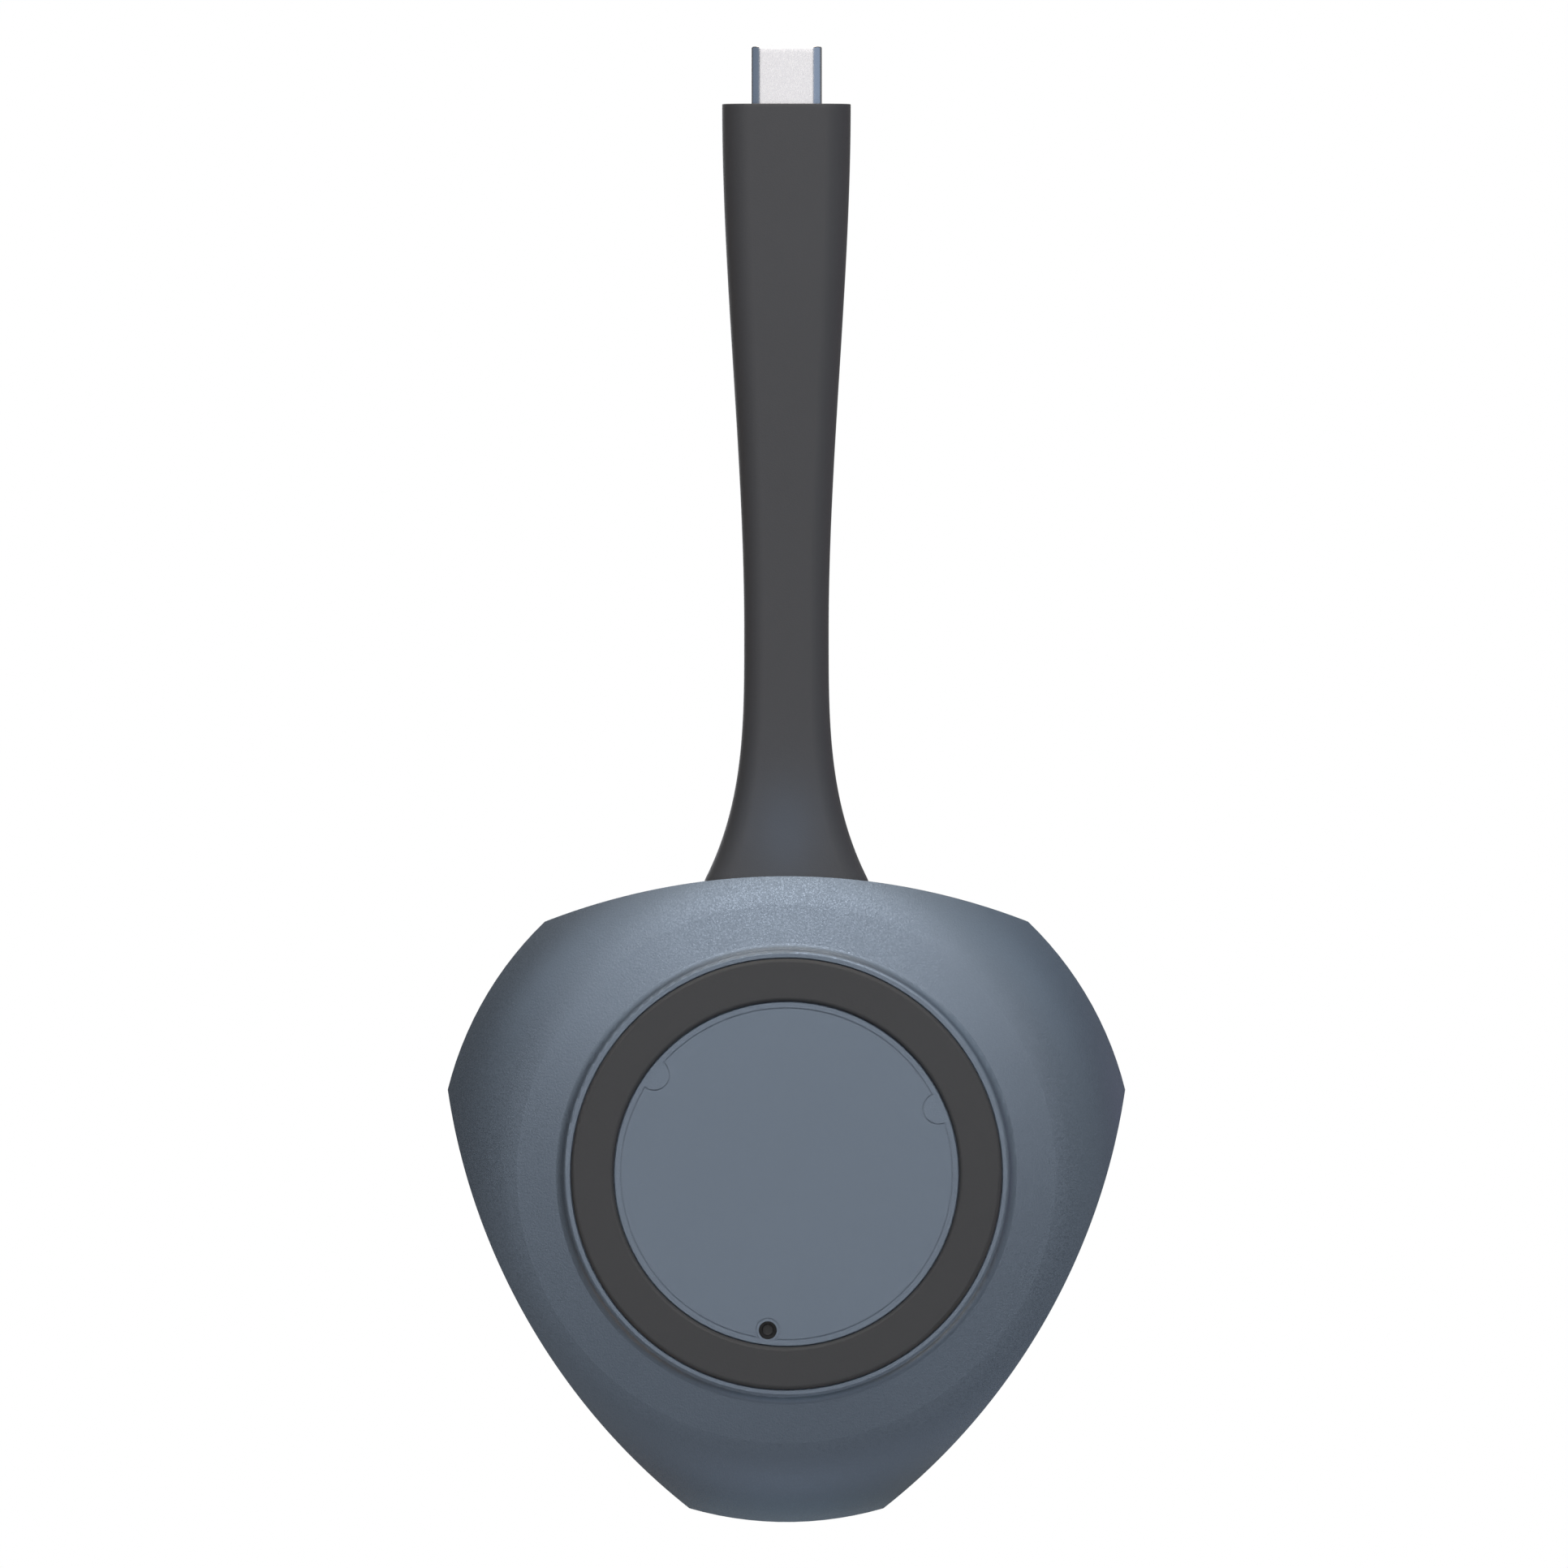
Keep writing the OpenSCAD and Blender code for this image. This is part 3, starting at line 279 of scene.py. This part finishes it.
def moulded(name, colour, roughness, grain, depth, shade=0.06, metallic=0.0, gloss=0.5,
            sparkle=0.0):
    """A moulded plastic or rubber, with the size of its grain and the depth of it in metres.

    Shade is the spread of its colour and gloss its specular level. Sparkle is how much smoother the
    flakes of a metallic lacquer are than the lacquer between them.
    """
    material, tree, shader = new_finish(name, Metallic=metallic, Specular_IOR_Level=gloss)
    place = add(tree, "ShaderNodeTexCoord").outputs["Object"]
    fine = add(tree, "ShaderNodeTexNoise", {"Vector": place, "Scale": 1 / grain, "Detail": 2.0,
                                            "Roughness": 0.6})
    broad = add(tree, "ShaderNodeTexNoise", {"Vector": place, "Scale": CLOUDS_PER_METRE})
    both = add(tree, "ShaderNodeMath", {0: fine, 1: broad}, operation="ADD")
    tint = add(tree, "ShaderNodeMapRange", {"Value": both, "From Min": 0.6, "From Max": 1.4,
                                            "To Min": 1 - shade, "To Max": 1 + shade})
    tinted = add(tree, "ShaderNodeMix", {0: 1.0, 6: srgb(colour), 7: tint}, data_type="RGBA",
                 blend_type="MULTIPLY")
    tree.links.new(tinted.outputs[2], shader.inputs["Base Color"])
    rough = add(tree, "ShaderNodeMapRange", {"Value": fine, "From Min": 0.3, "From Max": 0.7,
                                             "To Min": roughness - MOULDED_SPREAD,
                                             "To Max": roughness + MOULDED_SPREAD})
    if sparkle:
        flakes = add(tree, "ShaderNodeTexVoronoi", {"Vector": place, "Scale": 1 / FLAKE_SPACING})
        smoother = add(tree, "ShaderNodeMapRange", {"Value": flakes.outputs["Distance"],
                                                    "From Min": 0.2, "From Max": 0.5,
                                                    "To Min": -sparkle, "To Max": 0.0})
        rough = add(tree, "ShaderNodeMath", {0: rough, 1: smoother}, operation="ADD")
    tree.links.new(rough.outputs[0], shader.inputs["Roughness"])
    bump = add(tree, "ShaderNodeBump", {"Height": fine, "Distance": depth, "Strength": 1.0})
    tree.links.new(bump.outputs[0], shader.inputs["Normal"])
    return material


FLAKE_METALLIC = 0.6
slate_lacquer = moulded("satin_metallic_slate_lacquer", "#5f6a78", 0.49, 0.22 * MM, 0.016 * MM,
                        metallic=FLAKE_METALLIC, sparkle=0.13)
button_lacquer = moulded("fine_metallic_slate_lacquer", "#5a6573", 0.40, 0.16 * MM, 0.006 * MM,
                         shade=0.03, metallic=FLAKE_METALLIC)
silicone = moulded("moulded_silicone_foot", "#353639", 0.62, 0.30 * MM, 0.010 * MM, shade=0.05,
                   gloss=0.3)
tpe = moulded("soft_touch_tpe_strap", "#3a3b3f", 0.60, 0.18 * MM, 0.010 * MM, shade=0.04,
              gloss=0.3)
film_label = moulded("matt_polycarbonate_label", "#5f6a78", 0.48, 0.12 * MM, 0.003 * MM,
                     shade=0.02, metallic=FLAKE_METALLIC)
white_nylon = moulded("glass_filled_white_nylon", "#e6e4de", 0.50, 0.25 * MM, 0.008 * MM)
black_lcp = moulded("black_liquid_crystal_polymer", "#1b1c1e", 0.38, 0.20 * MM, 0.006 * MM,
                    shade=0.08)
wire_pvc = moulded("red_pvc_wire_and_plunger", "#9c3630", 0.35, 0.20 * MM, 0.003 * MM)
gap_pad = moulded("silicone_thermal_pad", "#8fa3b8", 0.75, 0.35 * MM, 0.020 * MM, shade=0.10)
foam_tape = moulded("acrylic_foam_tape", "#e9e7e0", 0.85, 0.15 * MM, 0.020 * MM, shade=0.05)

# %% [markdown]
# The ring round the button is opal polycarbonate over twelve small lamps. Light enters it and comes
# out again a little further on, which softens its edges, so the shader has some subsurface
# scattering.

# %% Opal light guide
opal, tree, shader = new_finish("opal_polycarbonate_light_guide", Base_Color=srgb("#d3d7db"),
                                Roughness=0.3, Subsurface_Weight=0.6, Subsurface_Scale=1.5 * MM)
place = add(tree, "ShaderNodeTexCoord").outputs["Object"]
cloud = add(tree, "ShaderNodeTexNoise", {"Vector": place, "Scale": 1 / (0.4 * MM)})
bump = add(tree, "ShaderNodeBump", {"Height": cloud, "Distance": 0.003 * MM})
tree.links.new(bump.outputs[0], shader.inputs["Normal"])

# %% [markdown]
# ## Metals
#
# The plug's shell is deep-drawn steel with bright nickel plating: smooth, but with faint drawing
# marks along its length. The radio's can and the crystal's can are plated alike. Screws, latches
# and the can inside the plug are zinc-plated steel, the springs are drawn wire, contacts and
# antennas are gold-plated bronze and the heat plate is rolled aluminium, with marks of their own.
# One function makes them all: noise stretched along an axis gives the marks, as bump and as
# roughness.

# %% Metals
METAL_SPREAD = 0.06


def worked_metal(name, colour, roughness, stretch, mark, depth):
    """A metal with marks of the given width, stretched along the axis whose factor is smallest."""
    material, tree, shader = new_finish(name, Base_Color=srgb(colour), Metallic=1.0)
    place = add(tree, "ShaderNodeTexCoord").outputs["Object"]
    along = add(tree, "ShaderNodeMapping", {"Vector": place, "Scale": stretch})
    marks = add(tree, "ShaderNodeTexNoise", {"Vector": along, "Scale": 1 / mark, "Detail": 3.0})
    rough = add(tree, "ShaderNodeMapRange", {"Value": marks, "From Min": 0.3, "From Max": 0.7,
                                             "To Min": roughness - METAL_SPREAD,
                                             "To Max": roughness + METAL_SPREAD})
    tree.links.new(rough.outputs[0], shader.inputs["Roughness"])
    bump = add(tree, "ShaderNodeBump", {"Height": marks, "Distance": depth})
    tree.links.new(bump.outputs[0], shader.inputs["Normal"])
    return material


plug_nickel = worked_metal("bright_nickel_plated_steel", "#b1b0b2", 0.24, (1, 0.2, 1),
                           0.08 * MM, 0.0006 * MM)
zinc_steel = worked_metal("zinc_plated_steel", "#c3c6c9", 0.36, (1, 1, 1),
                          0.15 * MM, 0.002 * MM)
spring_wire = worked_metal("drawn_spring_steel", "#b4b6b9", 0.28, (1, 1, 0.2),
                           0.05 * MM, 0.001 * MM)
contact_gold = worked_metal("gold_plated_bronze", "#d9b25a", 0.25, (1, 0.2, 1),
                            0.05 * MM, 0.0005 * MM)
rolled_aluminium = worked_metal("rolled_aluminium", "#c9cbcd", 0.40, (1, 0.1, 1),
                                0.10 * MM, 0.001 * MM)

# %% [markdown]
# ## Circuit boards, chips and ribbon
#
# The boards are FR-4 glass laminate under green solder mask. Copper tracks lift the mask a little,
# so they show as paler lines, and the joints of a brick pattern stand in for them. The pattern's
# unit is 4 mm. Rows a quarter of it high put the tracks 1 mm apart, and mortar of 0.03 units on
# both sides of a joint makes them 0.24 mm wide. Chips are black epoxy with a fine matt grain, and
# the ribbon is amber polyimide, a colour that the small passives share.

# %% Board
BRICK_UNIT = 4 * MM
board, tree, shader = new_finish("fr4_laminate_with_solder_mask", Roughness=0.35)
place = add(tree, "ShaderNodeTexCoord").outputs["Object"]
tracks = add(tree, "ShaderNodeTexBrick", {
    "Vector": place, "Scale": 1 / BRICK_UNIT, "Color1": srgb("#1d5a40"),
    "Color2": srgb("#1a523a"), "Mortar": srgb("#3f7f5c"), "Mortar Size": 0.03,
    "Brick Width": 1.5, "Row Height": 0.25})
tree.links.new(tracks.outputs["Color"], shader.inputs["Base Color"])
bump = add(tree, "ShaderNodeBump", {"Height": tracks.outputs["Fac"], "Distance": 0.02 * MM})
tree.links.new(bump.outputs[0], shader.inputs["Normal"])

# %% Epoxy and polyimide
epoxy = moulded("black_epoxy_chip", "#232426", 0.55, 0.08 * MM, 0.004 * MM, shade=0.10)
polyimide = moulded("amber_polyimide_ribbon", "#b9792a", 0.30, 0.30 * MM, 0.002 * MM, shade=0.08)

# %% [markdown]
# ## Giving the CAD nodes their finishes
#
# The record names a slot for each node. A CAD node's mesh is never changed, only its material, so
# this table of slots covers every node. The button's cap has a finer lacquer than the shells.

# %% Finishes by slot
FINISHES = {
    "shell": slate_lacquer, "rubber": silicone, "tape": foam_tape, "label": film_label,
    "light_guide": opal, "white_plastic": white_nylon, "board": board, "film": polyimide,
    "steel": zinc_steel, "black_plastic": black_lcp, "nickel": plug_nickel, "chip": epoxy,
    "pad": gap_pad, "aluminium": rolled_aluminium, "gold": contact_gold, "wire": wire_pvc,
    "neck": tpe, "spring_steel": spring_wire,
}
slot_of = {part["node"]: part["material_slot"] for part in frame["record"]["subparts"]}
for name, node in frame["nodes"].items():
    node.data.materials.clear()
    node.data.materials.append(FINISHES[slot_of[name]])
frame["nodes"]["button_cap"].data.materials[0] = button_lacquer
print("dressed CAD nodes:", len(slot_of))

# %% [markdown]
# ## Growing pieces from a rule
#
# Where a piece follows a rule, Geometry Nodes make it. `new_tree` starts a tree with named inputs,
# and `end_tree` ends it. `grow` runs it on an empty mesh and keeps the result as a plain mesh. The
# inputs are set by the sockets' identifiers before the object is first evaluated.

# %% Geometry Nodes helpers
def new_tree(name, sizes):
    """An empty geometry tree, its inputs (a float for each size, a material) and its output."""
    tree = bpy.data.node_groups.new(name, "GeometryNodeTree")
    tree.interface.new_socket("Geometry", in_out="OUTPUT", socket_type="NodeSocketGeometry")
    for size in sizes:
        tree.interface.new_socket(size, in_out="INPUT", socket_type="NodeSocketFloat")
    tree.interface.new_socket("Surface", in_out="INPUT", socket_type="NodeSocketMaterial")
    return tree, add(tree, "NodeGroupInput").outputs, add(tree, "NodeGroupOutput")


def end_tree(tree, given, result, shape):
    """Makes instances real, gives the shape its material and sends it to the output."""
    real = add(tree, "GeometryNodeRealizeInstances", {0: shape})
    coated = add(tree, "GeometryNodeSetMaterial", {"Geometry": real, "Material": given["Surface"]})
    tree.links.new(coated.outputs[0], result.inputs[0])


def evaluated_mesh(source):
    """A plain mesh of the object as its modifiers show it."""
    evaluated = source.evaluated_get(bpy.context.evaluated_depsgraph_get())
    return bpy.data.meshes.new_from_object(evaluated)


def grow(name, tree, values):
    """The tree's result as a plain mesh object at the origin."""
    source = in_scene(name + "_source", bpy.data.meshes.new(name))
    modifier = source.modifiers.new("grow", "NODES")
    modifier.node_group = tree
    for item in tree.interface.items_tree:
        if item.item_type == "SOCKET" and item.in_out == "INPUT" and item.name in values:
            modifier[item.identifier] = values[item.name]
    mesh = evaluated_mesh(source)
    bpy.data.objects.remove(source)
    mesh.name = name
    print(name, "faces:", len(mesh.polygons))
    return in_scene(name, mesh)


# %% [markdown]
# ## The strap
#
# The strap is soft rubber moulded over the cable. Its section is a flat bar with full-round sides,
# wide where it leaves the puck, thin at the waist, and swelling again towards the plug. A unit
# cylinder is laid along Y, and each of its points is moved out to the width and thickness that the
# strap has there.
#
# Two curves along the strap give that: the flare falls from the puck to nothing at the waist, and
# the swell rises from there to the plug.

# %% Along the strap
SIZES = ["Start", "End", "Waist", "Flare length", "Height", "Base width", "Waist width",
         "Head width", "Base thickness", "Waist thickness", "Head thickness"]
FLARE_POWER = 3.2
strap_tree, given, result = new_tree("strap_section_along_y", SIZES)
unit = add(strap_tree, "GeometryNodeMeshCylinder",
           {"Vertices": 96, "Side Segments": 190, "Radius": 1.0, "Depth": 1.0})
position = add(strap_tree, "GeometryNodeInputPosition")
point = add(strap_tree, "ShaderNodeSeparateXYZ", {0: position}).outputs
along = add(strap_tree, "ShaderNodeMapRange", {"Value": point["Z"], "From Min": -0.5,
                                               "From Max": 0.5, "To Min": given["Start"],
                                               "To Max": given["End"]})
before_waist = add(strap_tree, "ShaderNodeMath", {0: given["Waist"], 1: along},
                   operation="SUBTRACT")
flare_part = add(strap_tree, "ShaderNodeMath", {0: before_waist, 1: given["Flare length"]},
                 operation="DIVIDE", use_clamp=True)
flare = add(strap_tree, "ShaderNodeMath", {0: flare_part, 1: FLARE_POWER}, operation="POWER")
swell = add(strap_tree, "ShaderNodeMapRange",
            {"Value": along, "From Min": given["Waist"], "From Max": given["End"]},
            interpolation_type="SMOOTHSTEP")

# %% [markdown]
# Width and thickness follow the same two curves, each between its own three sizes: at the base, at
# the waist and at the head. The section needs half of each.

# %% Half the width and half the thickness
halves = []
for kind in ("width", "thickness"):
    waist = given["Waist " + kind]
    wider_base, wider_head = [
        add(strap_tree, "ShaderNodeMath", {0: given[end + kind], 1: waist}, operation="SUBTRACT")
        for end in ("Base ", "Head ")]
    near = add(strap_tree, "ShaderNodeMath", {0: wider_base, 1: flare, 2: waist},
               operation="MULTIPLY_ADD")
    whole = add(strap_tree, "ShaderNodeMath", {0: wider_head, 1: swell, 2: near},
                operation="MULTIPLY_ADD")
    halves.append(add(strap_tree, "ShaderNodeMath", {0: whole, 1: 0.5}, operation="MULTIPLY"))
half_width, half_thickness = halves

# %% [markdown]
# The section is a circle of half the thickness, pulled apart in the middle: each side moves out by
# the flat part. The cylinder's Y becomes the strap's thickness, turned over so that its faces still
# point outwards.

# %% The strap's section
flat_half = add(strap_tree, "ShaderNodeMath", {0: half_width, 1: half_thickness},
                operation="SUBTRACT")
side = add(strap_tree, "ShaderNodeMath", {0: point["X"]}, operation="SIGN")
flat_part = add(strap_tree, "ShaderNodeMath", {0: side, 1: flat_half}, operation="MULTIPLY")
x = add(strap_tree, "ShaderNodeMath", {0: point["X"], 1: half_thickness, 2: flat_part},
        operation="MULTIPLY_ADD")
down = add(strap_tree, "ShaderNodeMath", {0: point["Y"], 1: -1.0}, operation="MULTIPLY")
z = add(strap_tree, "ShaderNodeMath", {0: down, 1: half_thickness, 2: given["Height"]},
        operation="MULTIPLY_ADD")
place = add(strap_tree, "ShaderNodeCombineXYZ", {0: x, 1: along, 2: z})
moved = add(strap_tree, "GeometryNodeSetPosition", {"Geometry": unit, "Position": place})
end_tree(strap_tree, given, result, moved)
print("strap tree, nodes:", len(strap_tree.nodes))

# %% [markdown]
# The strap's ends are cut square with a small rounding that the mould leaves, so a Bevel modifier
# rounds the two end rims.

# %% The strap
NECK_Z = 8.5 * MM
FLANGE_LENGTH = 2.8 * MM
FLANGE_OVERLAP = 0.2 * MM
STRAP_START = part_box("neck_root")[0].y + FLANGE_LENGTH - FLANGE_OVERLAP
STRAP_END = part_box("neck_head")[1].y
WAIST_Y = 62.6055 * MM
FLARE_LENGTH = 28.8 * MM
strap = grow("overmoulded_strap", strap_tree, {
    "Start": STRAP_START, "End": STRAP_END, "Waist": WAIST_Y, "Flare length": FLARE_LENGTH,
    "Height": NECK_Z, "Base width": 19.1 * MM, "Waist width": 9.8 * MM, "Head width": 14.9 * MM,
    "Base thickness": 6.6 * MM, "Waist thickness": 4.8 * MM, "Head thickness": 6.4 * MM,
    "Surface": tpe})
rounding = strap.modifiers.new("mould_edge", "BEVEL")
rounding.width = 0.1 * MM
rounding.segments = 3
rounding.limit_method = "ANGLE"
rounding.angle_limit = math.radians(60)
rounded_mesh = evaluated_mesh(strap)
strap.modifiers.clear()
strap.data = rounded_mesh

# %% [markdown]
# Inside the casing the strap ends in a flange that two ribs grip, and the flange is part of the
# same moulding, so a block with rounded edges is joined to the mesh. Each edge of the block is met
# from both its ends, and a dictionary keeps it once.

# %% The strap's flange
FLANGE_ROUND = 0.3 * MM
root_lo, root_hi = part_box("neck_root")
bm = bmesh.new()
bm.from_mesh(strap.data)
flange = bmesh.ops.create_cube(bm, size=1)["verts"]
for vert in flange:
    vert.co.x *= root_hi.x - root_lo.x
    vert.co.y = root_lo.y + (vert.co.y + 0.5) * FLANGE_LENGTH
    vert.co.z = root_lo.z + (vert.co.z + 0.5) * (root_hi.z - root_lo.z)
flange_edges = dict.fromkeys(edge for vert in flange for edge in vert.link_edges)
bmesh.ops.bevel(bm, geom=list(flange_edges), offset=FLANGE_ROUND, segments=2, affect="EDGES")
bmesh.ops.recalc_face_normals(bm, faces=bm.faces)
bm.to_mesh(strap.data)
bm.free()
strap.data.shade_smooth()
print("strap with its flange, faces:", len(strap.data.polygons))
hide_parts("neck_root", "neck_flex", "neck_head")
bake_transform(strap)

# %% [markdown]
# The round cable inside the strap follows the same rule with every width equal to its thickness, so
# the same tree makes it.

# %% The cable in the strap
CABLE = 3.2 * MM
core_lo, core_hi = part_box("cable_core")
round_section = {name: CABLE for name in SIZES if name.endswith(("width", "thickness"))}
cable = grow("cable_in_strap", strap_tree, {
    "Start": core_lo.y, "End": core_hi.y, "Waist": WAIST_Y, "Flare length": FLARE_LENGTH,
    "Height": NECK_Z, "Surface": black_lcp, **round_section})
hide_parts("cable_core")
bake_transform(cable)

# %% [markdown]
# ## The plug's shell
#
# The shell is deep-drawn from one sheet into a flat tube with full-round sides, and its mouth is
# pressed round so that it finds the socket. That rounding shows as a darker line at the mouth.
#
# The wall's section is a list of steps, each with its place along Y and how far in from the outside
# it lies: along the outside, over the rounded mouth, and back along the inside. The outer part of
# the rounding takes up 0.6 of the wall and the inner part the rest.

# %% Section of the shell's wall
PLUG_WALL = 0.25 * MM
MOUTH_ROUND = 0.25 * MM
OUTER_ROUND = 0.6 * PLUG_WALL
INNER_ROUND = 0.4 * PLUG_WALL
OUTER_STEPS = 8
INNER_STEPS = 4
shell_lo, shell_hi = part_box("plug_shell")
section = [(shell_lo.y, PLUG_WALL), (shell_lo.y, 0), (shell_lo.y + 2 * MM, 0),
           (shell_hi.y - 0.8 * MM, 0)]
for i in range(OUTER_STEPS + 1):
    turn = math.radians(90 * i / OUTER_STEPS)
    section.append((shell_hi.y - MOUTH_ROUND * (1 - math.sin(turn)),
                    OUTER_ROUND * (1 - math.cos(turn))))
for i in range(1, INNER_STEPS + 1):
    turn = math.radians(90 * i / INNER_STEPS)
    section.append((shell_hi.y - INNER_ROUND * (1 - math.cos(turn)),
                    OUTER_ROUND + INNER_ROUND * math.sin(turn)))
section.append((shell_hi.y - 1.0 * MM, PLUG_WALL))
print("steps of the wall's section:", len(section))

# %% [markdown]
# A ring of points is drawn round the tube for each step. Neighbouring rings are then joined with
# faces, and the last ring with the first, which closes the wall at its back end.

# %% The drawn plug shell
def flat_tube_ring(half_flat, radius, y, z, arc_points=24):
    """Points round a flat bar with full-round sides."""
    ring = []
    for side, first in ((1, -90), (-1, 90)):
        for i in range(arc_points + 1):
            turn = math.radians(first + 180 * i / arc_points)
            ring.append((side * half_flat + radius * math.cos(turn), y,
                         z + radius * math.sin(turn)))
    return ring


def faces_between(rings):
    """Four-sided faces that join each ring to the next one, and the last to the first."""
    count = len(rings[0])
    faces = []
    for j in range(len(rings)):
        here, there = j * count, (j + 1) % len(rings) * count
        for i in range(count):
            after = (i + 1) % count
            faces.append((here + i, here + after, there + after, there + i))
    return faces


shell_r = (shell_hi.z - shell_lo.z) / 2
half_flat = (shell_hi.x - shell_lo.x) / 2 - shell_r
middle_z = (shell_lo.z + shell_hi.z) / 2
rings = [flat_tube_ring(half_flat, shell_r - inset, y, middle_z) for y, inset in section]
plug_mesh = bpy.data.meshes.new("drawn_plug_shell")
plug_mesh.from_pydata([corner for ring in rings for corner in ring], [], faces_between(rings))
bm = bmesh.new()
bm.from_mesh(plug_mesh)
bmesh.ops.recalc_face_normals(bm, faces=bm.faces)
bm.to_mesh(plug_mesh)
bm.free()
plug_mesh.shade_smooth()
plug_mesh.set_sharp_from_angle(angle=math.radians(50))
plug_mesh.materials.append(plug_nickel)
plug_shell = in_scene("drawn_plug_shell", plug_mesh)
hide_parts("plug_shell")
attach(plug_shell, "plug")
print("plug shell, faces:", len(plug_mesh.polygons))

# %% [markdown]
# Bright metal shows what stands round it. In the picture the plug's round sides reflect pale bluish
# surroundings, so two cards stand close beside the plug. Light linking keeps them off everything
# else.

# %% Cards beside the plug
PLUG_MIDDLE = Vector((0, 127 * MM, NECK_Z))
CARD_SIZE = 160 * MM
CARD_WATTS = {1: 0.046, -1: 0.080}
lit_by_cards = bpy.data.collections.new("lit_by_the_plug_cards")
lit_by_cards.objects.link(plug_shell)
for side, watts in CARD_WATTS.items():
    away = Vector((side * 74 * MM, 0, -36 * MM))
    card = area_lamp("plug_side_card", PLUG_MIDDLE, away, CARD_SIZE, watts, "#bcd2ee")
    card.light_linking.receiver_collection = lit_by_cards
print("cards beside the plug:", len(CARD_WATTS))

# %% [markdown]
# The tints of the fills, edge lights and rim lights would draw coloured lines along the plug, so
# they leave it out. The ones on the strap's side stay, since they light its mouth. A collection
# whose only object is set to be excluded stands for everything else.

# %% Lamps that leave the plug out
TINTED_TILTS = (60, 80, 105)
all_but_plug = bpy.data.collections.new("all_but_the_plug")
all_but_plug.objects.link(plug_shell)
all_but_plug.collection_objects[0].light_linking.link_state = "EXCLUDE"
tinted_lamps = [name for name, tilt, turn, *_ in LAMPS if turn and tilt in TINTED_TILTS]
for name in tinted_lamps:
    bpy.data.objects[name].light_linking.receiver_collection = all_but_plug
print("lamps that leave the plug out:", len(tinted_lamps))

# %% [markdown]
# The picture shows a soft bluish light on the middle of the strap, close to the puck. A card of
# 3 mm by 8 mm just below the strap throws it, and light linking keeps it off everything else.

# %% Card below the strap's foot
STRAP_FOOT = Vector((0, 40 * MM, NECK_Z))
BELOW = Vector((0, 0, -9.5 * MM))
FOOT_CARD_WATTS = 0.00024
lit_by_foot_card = bpy.data.collections.new("lit_by_the_foot_card")
lit_by_foot_card.objects.link(strap)
card = area_lamp("strap_foot_card", STRAP_FOOT, BELOW, 3 * MM, FOOT_CARD_WATTS, "#a4d3ff")
card.data.shape = "RECTANGLE"
card.data.size_y = 8 * MM
card.rotation_euler = (math.pi, 0, 0)
card.light_linking.receiver_collection = lit_by_foot_card
print("foot card below the strap's middle, mm:", round(-BELOW.z / MM, 1))

# %% [markdown]
# ## The return springs
#
# Three compression springs lift the button. Such a spring is a wire swept along a helix, so
# Geometry Nodes draw one helix, sweep a small circle along it, and set the spring on the three
# corners of a triangle round the button's axis. The helix is two wire radii shorter than the
# spring, because the wire is as thick above and below it.

# %% The springs' tree
SPRING_SIZES = ["Spring radius", "Spring height", "Wire radius", "Reach", "Foot height"]
spring_tree, given, result = new_tree("springs_on_a_triangle", SPRING_SIZES)
inner_height = add(spring_tree, "ShaderNodeMath",
                   {0: given["Wire radius"], 1: -2.0, 2: given["Spring height"]},
                   operation="MULTIPLY_ADD")
helix = add(spring_tree, "GeometryNodeCurveSpiral", {
    "Resolution": 20, "Rotations": 6.0, "Start Radius": given["Spring radius"],
    "End Radius": given["Spring radius"], "Height": inner_height})
wire = add(spring_tree, "GeometryNodeCurvePrimitiveCircle",
           {"Resolution": 8, "Radius": given["Wire radius"]})
swept = add(spring_tree, "GeometryNodeCurveToMesh",
            {"Curve": helix, "Profile Curve": wire, "Fill Caps": True})
triangle = add(spring_tree, "GeometryNodeMeshCircle", {"Vertices": 3, "Radius": given["Reach"]})
placed = add(spring_tree, "GeometryNodeInstanceOnPoints", {"Points": triangle, "Instance": swept})
foot = add(spring_tree, "ShaderNodeMath", {0: given["Foot height"], 1: given["Wire radius"]},
           operation="ADD")
up = add(spring_tree, "ShaderNodeCombineXYZ", {2: foot})
lifted = add(spring_tree, "GeometryNodeTransform", {"Geometry": placed, "Translation": up})
end_tree(spring_tree, given, result, lifted)
print("spring tree, nodes:", len(spring_tree.nodes))

# %% [markdown]
# The springs stand in the puck.

# %% Springs
SPRING_R = 2.33 * MM
WIRE_R = 0.15 * MM
PIN_REACH = 11 * MM
spring_lo, spring_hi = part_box("button_springs")
springs = grow("three_return_springs", spring_tree, {
    "Spring radius": SPRING_R, "Spring height": spring_hi.z - spring_lo.z, "Wire radius": WIRE_R,
    "Reach": PIN_REACH, "Foot height": spring_lo.z, "Surface": spring_wire})
springs.data.shade_smooth()
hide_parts("button_springs")
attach(springs, "puck")
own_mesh(springs)
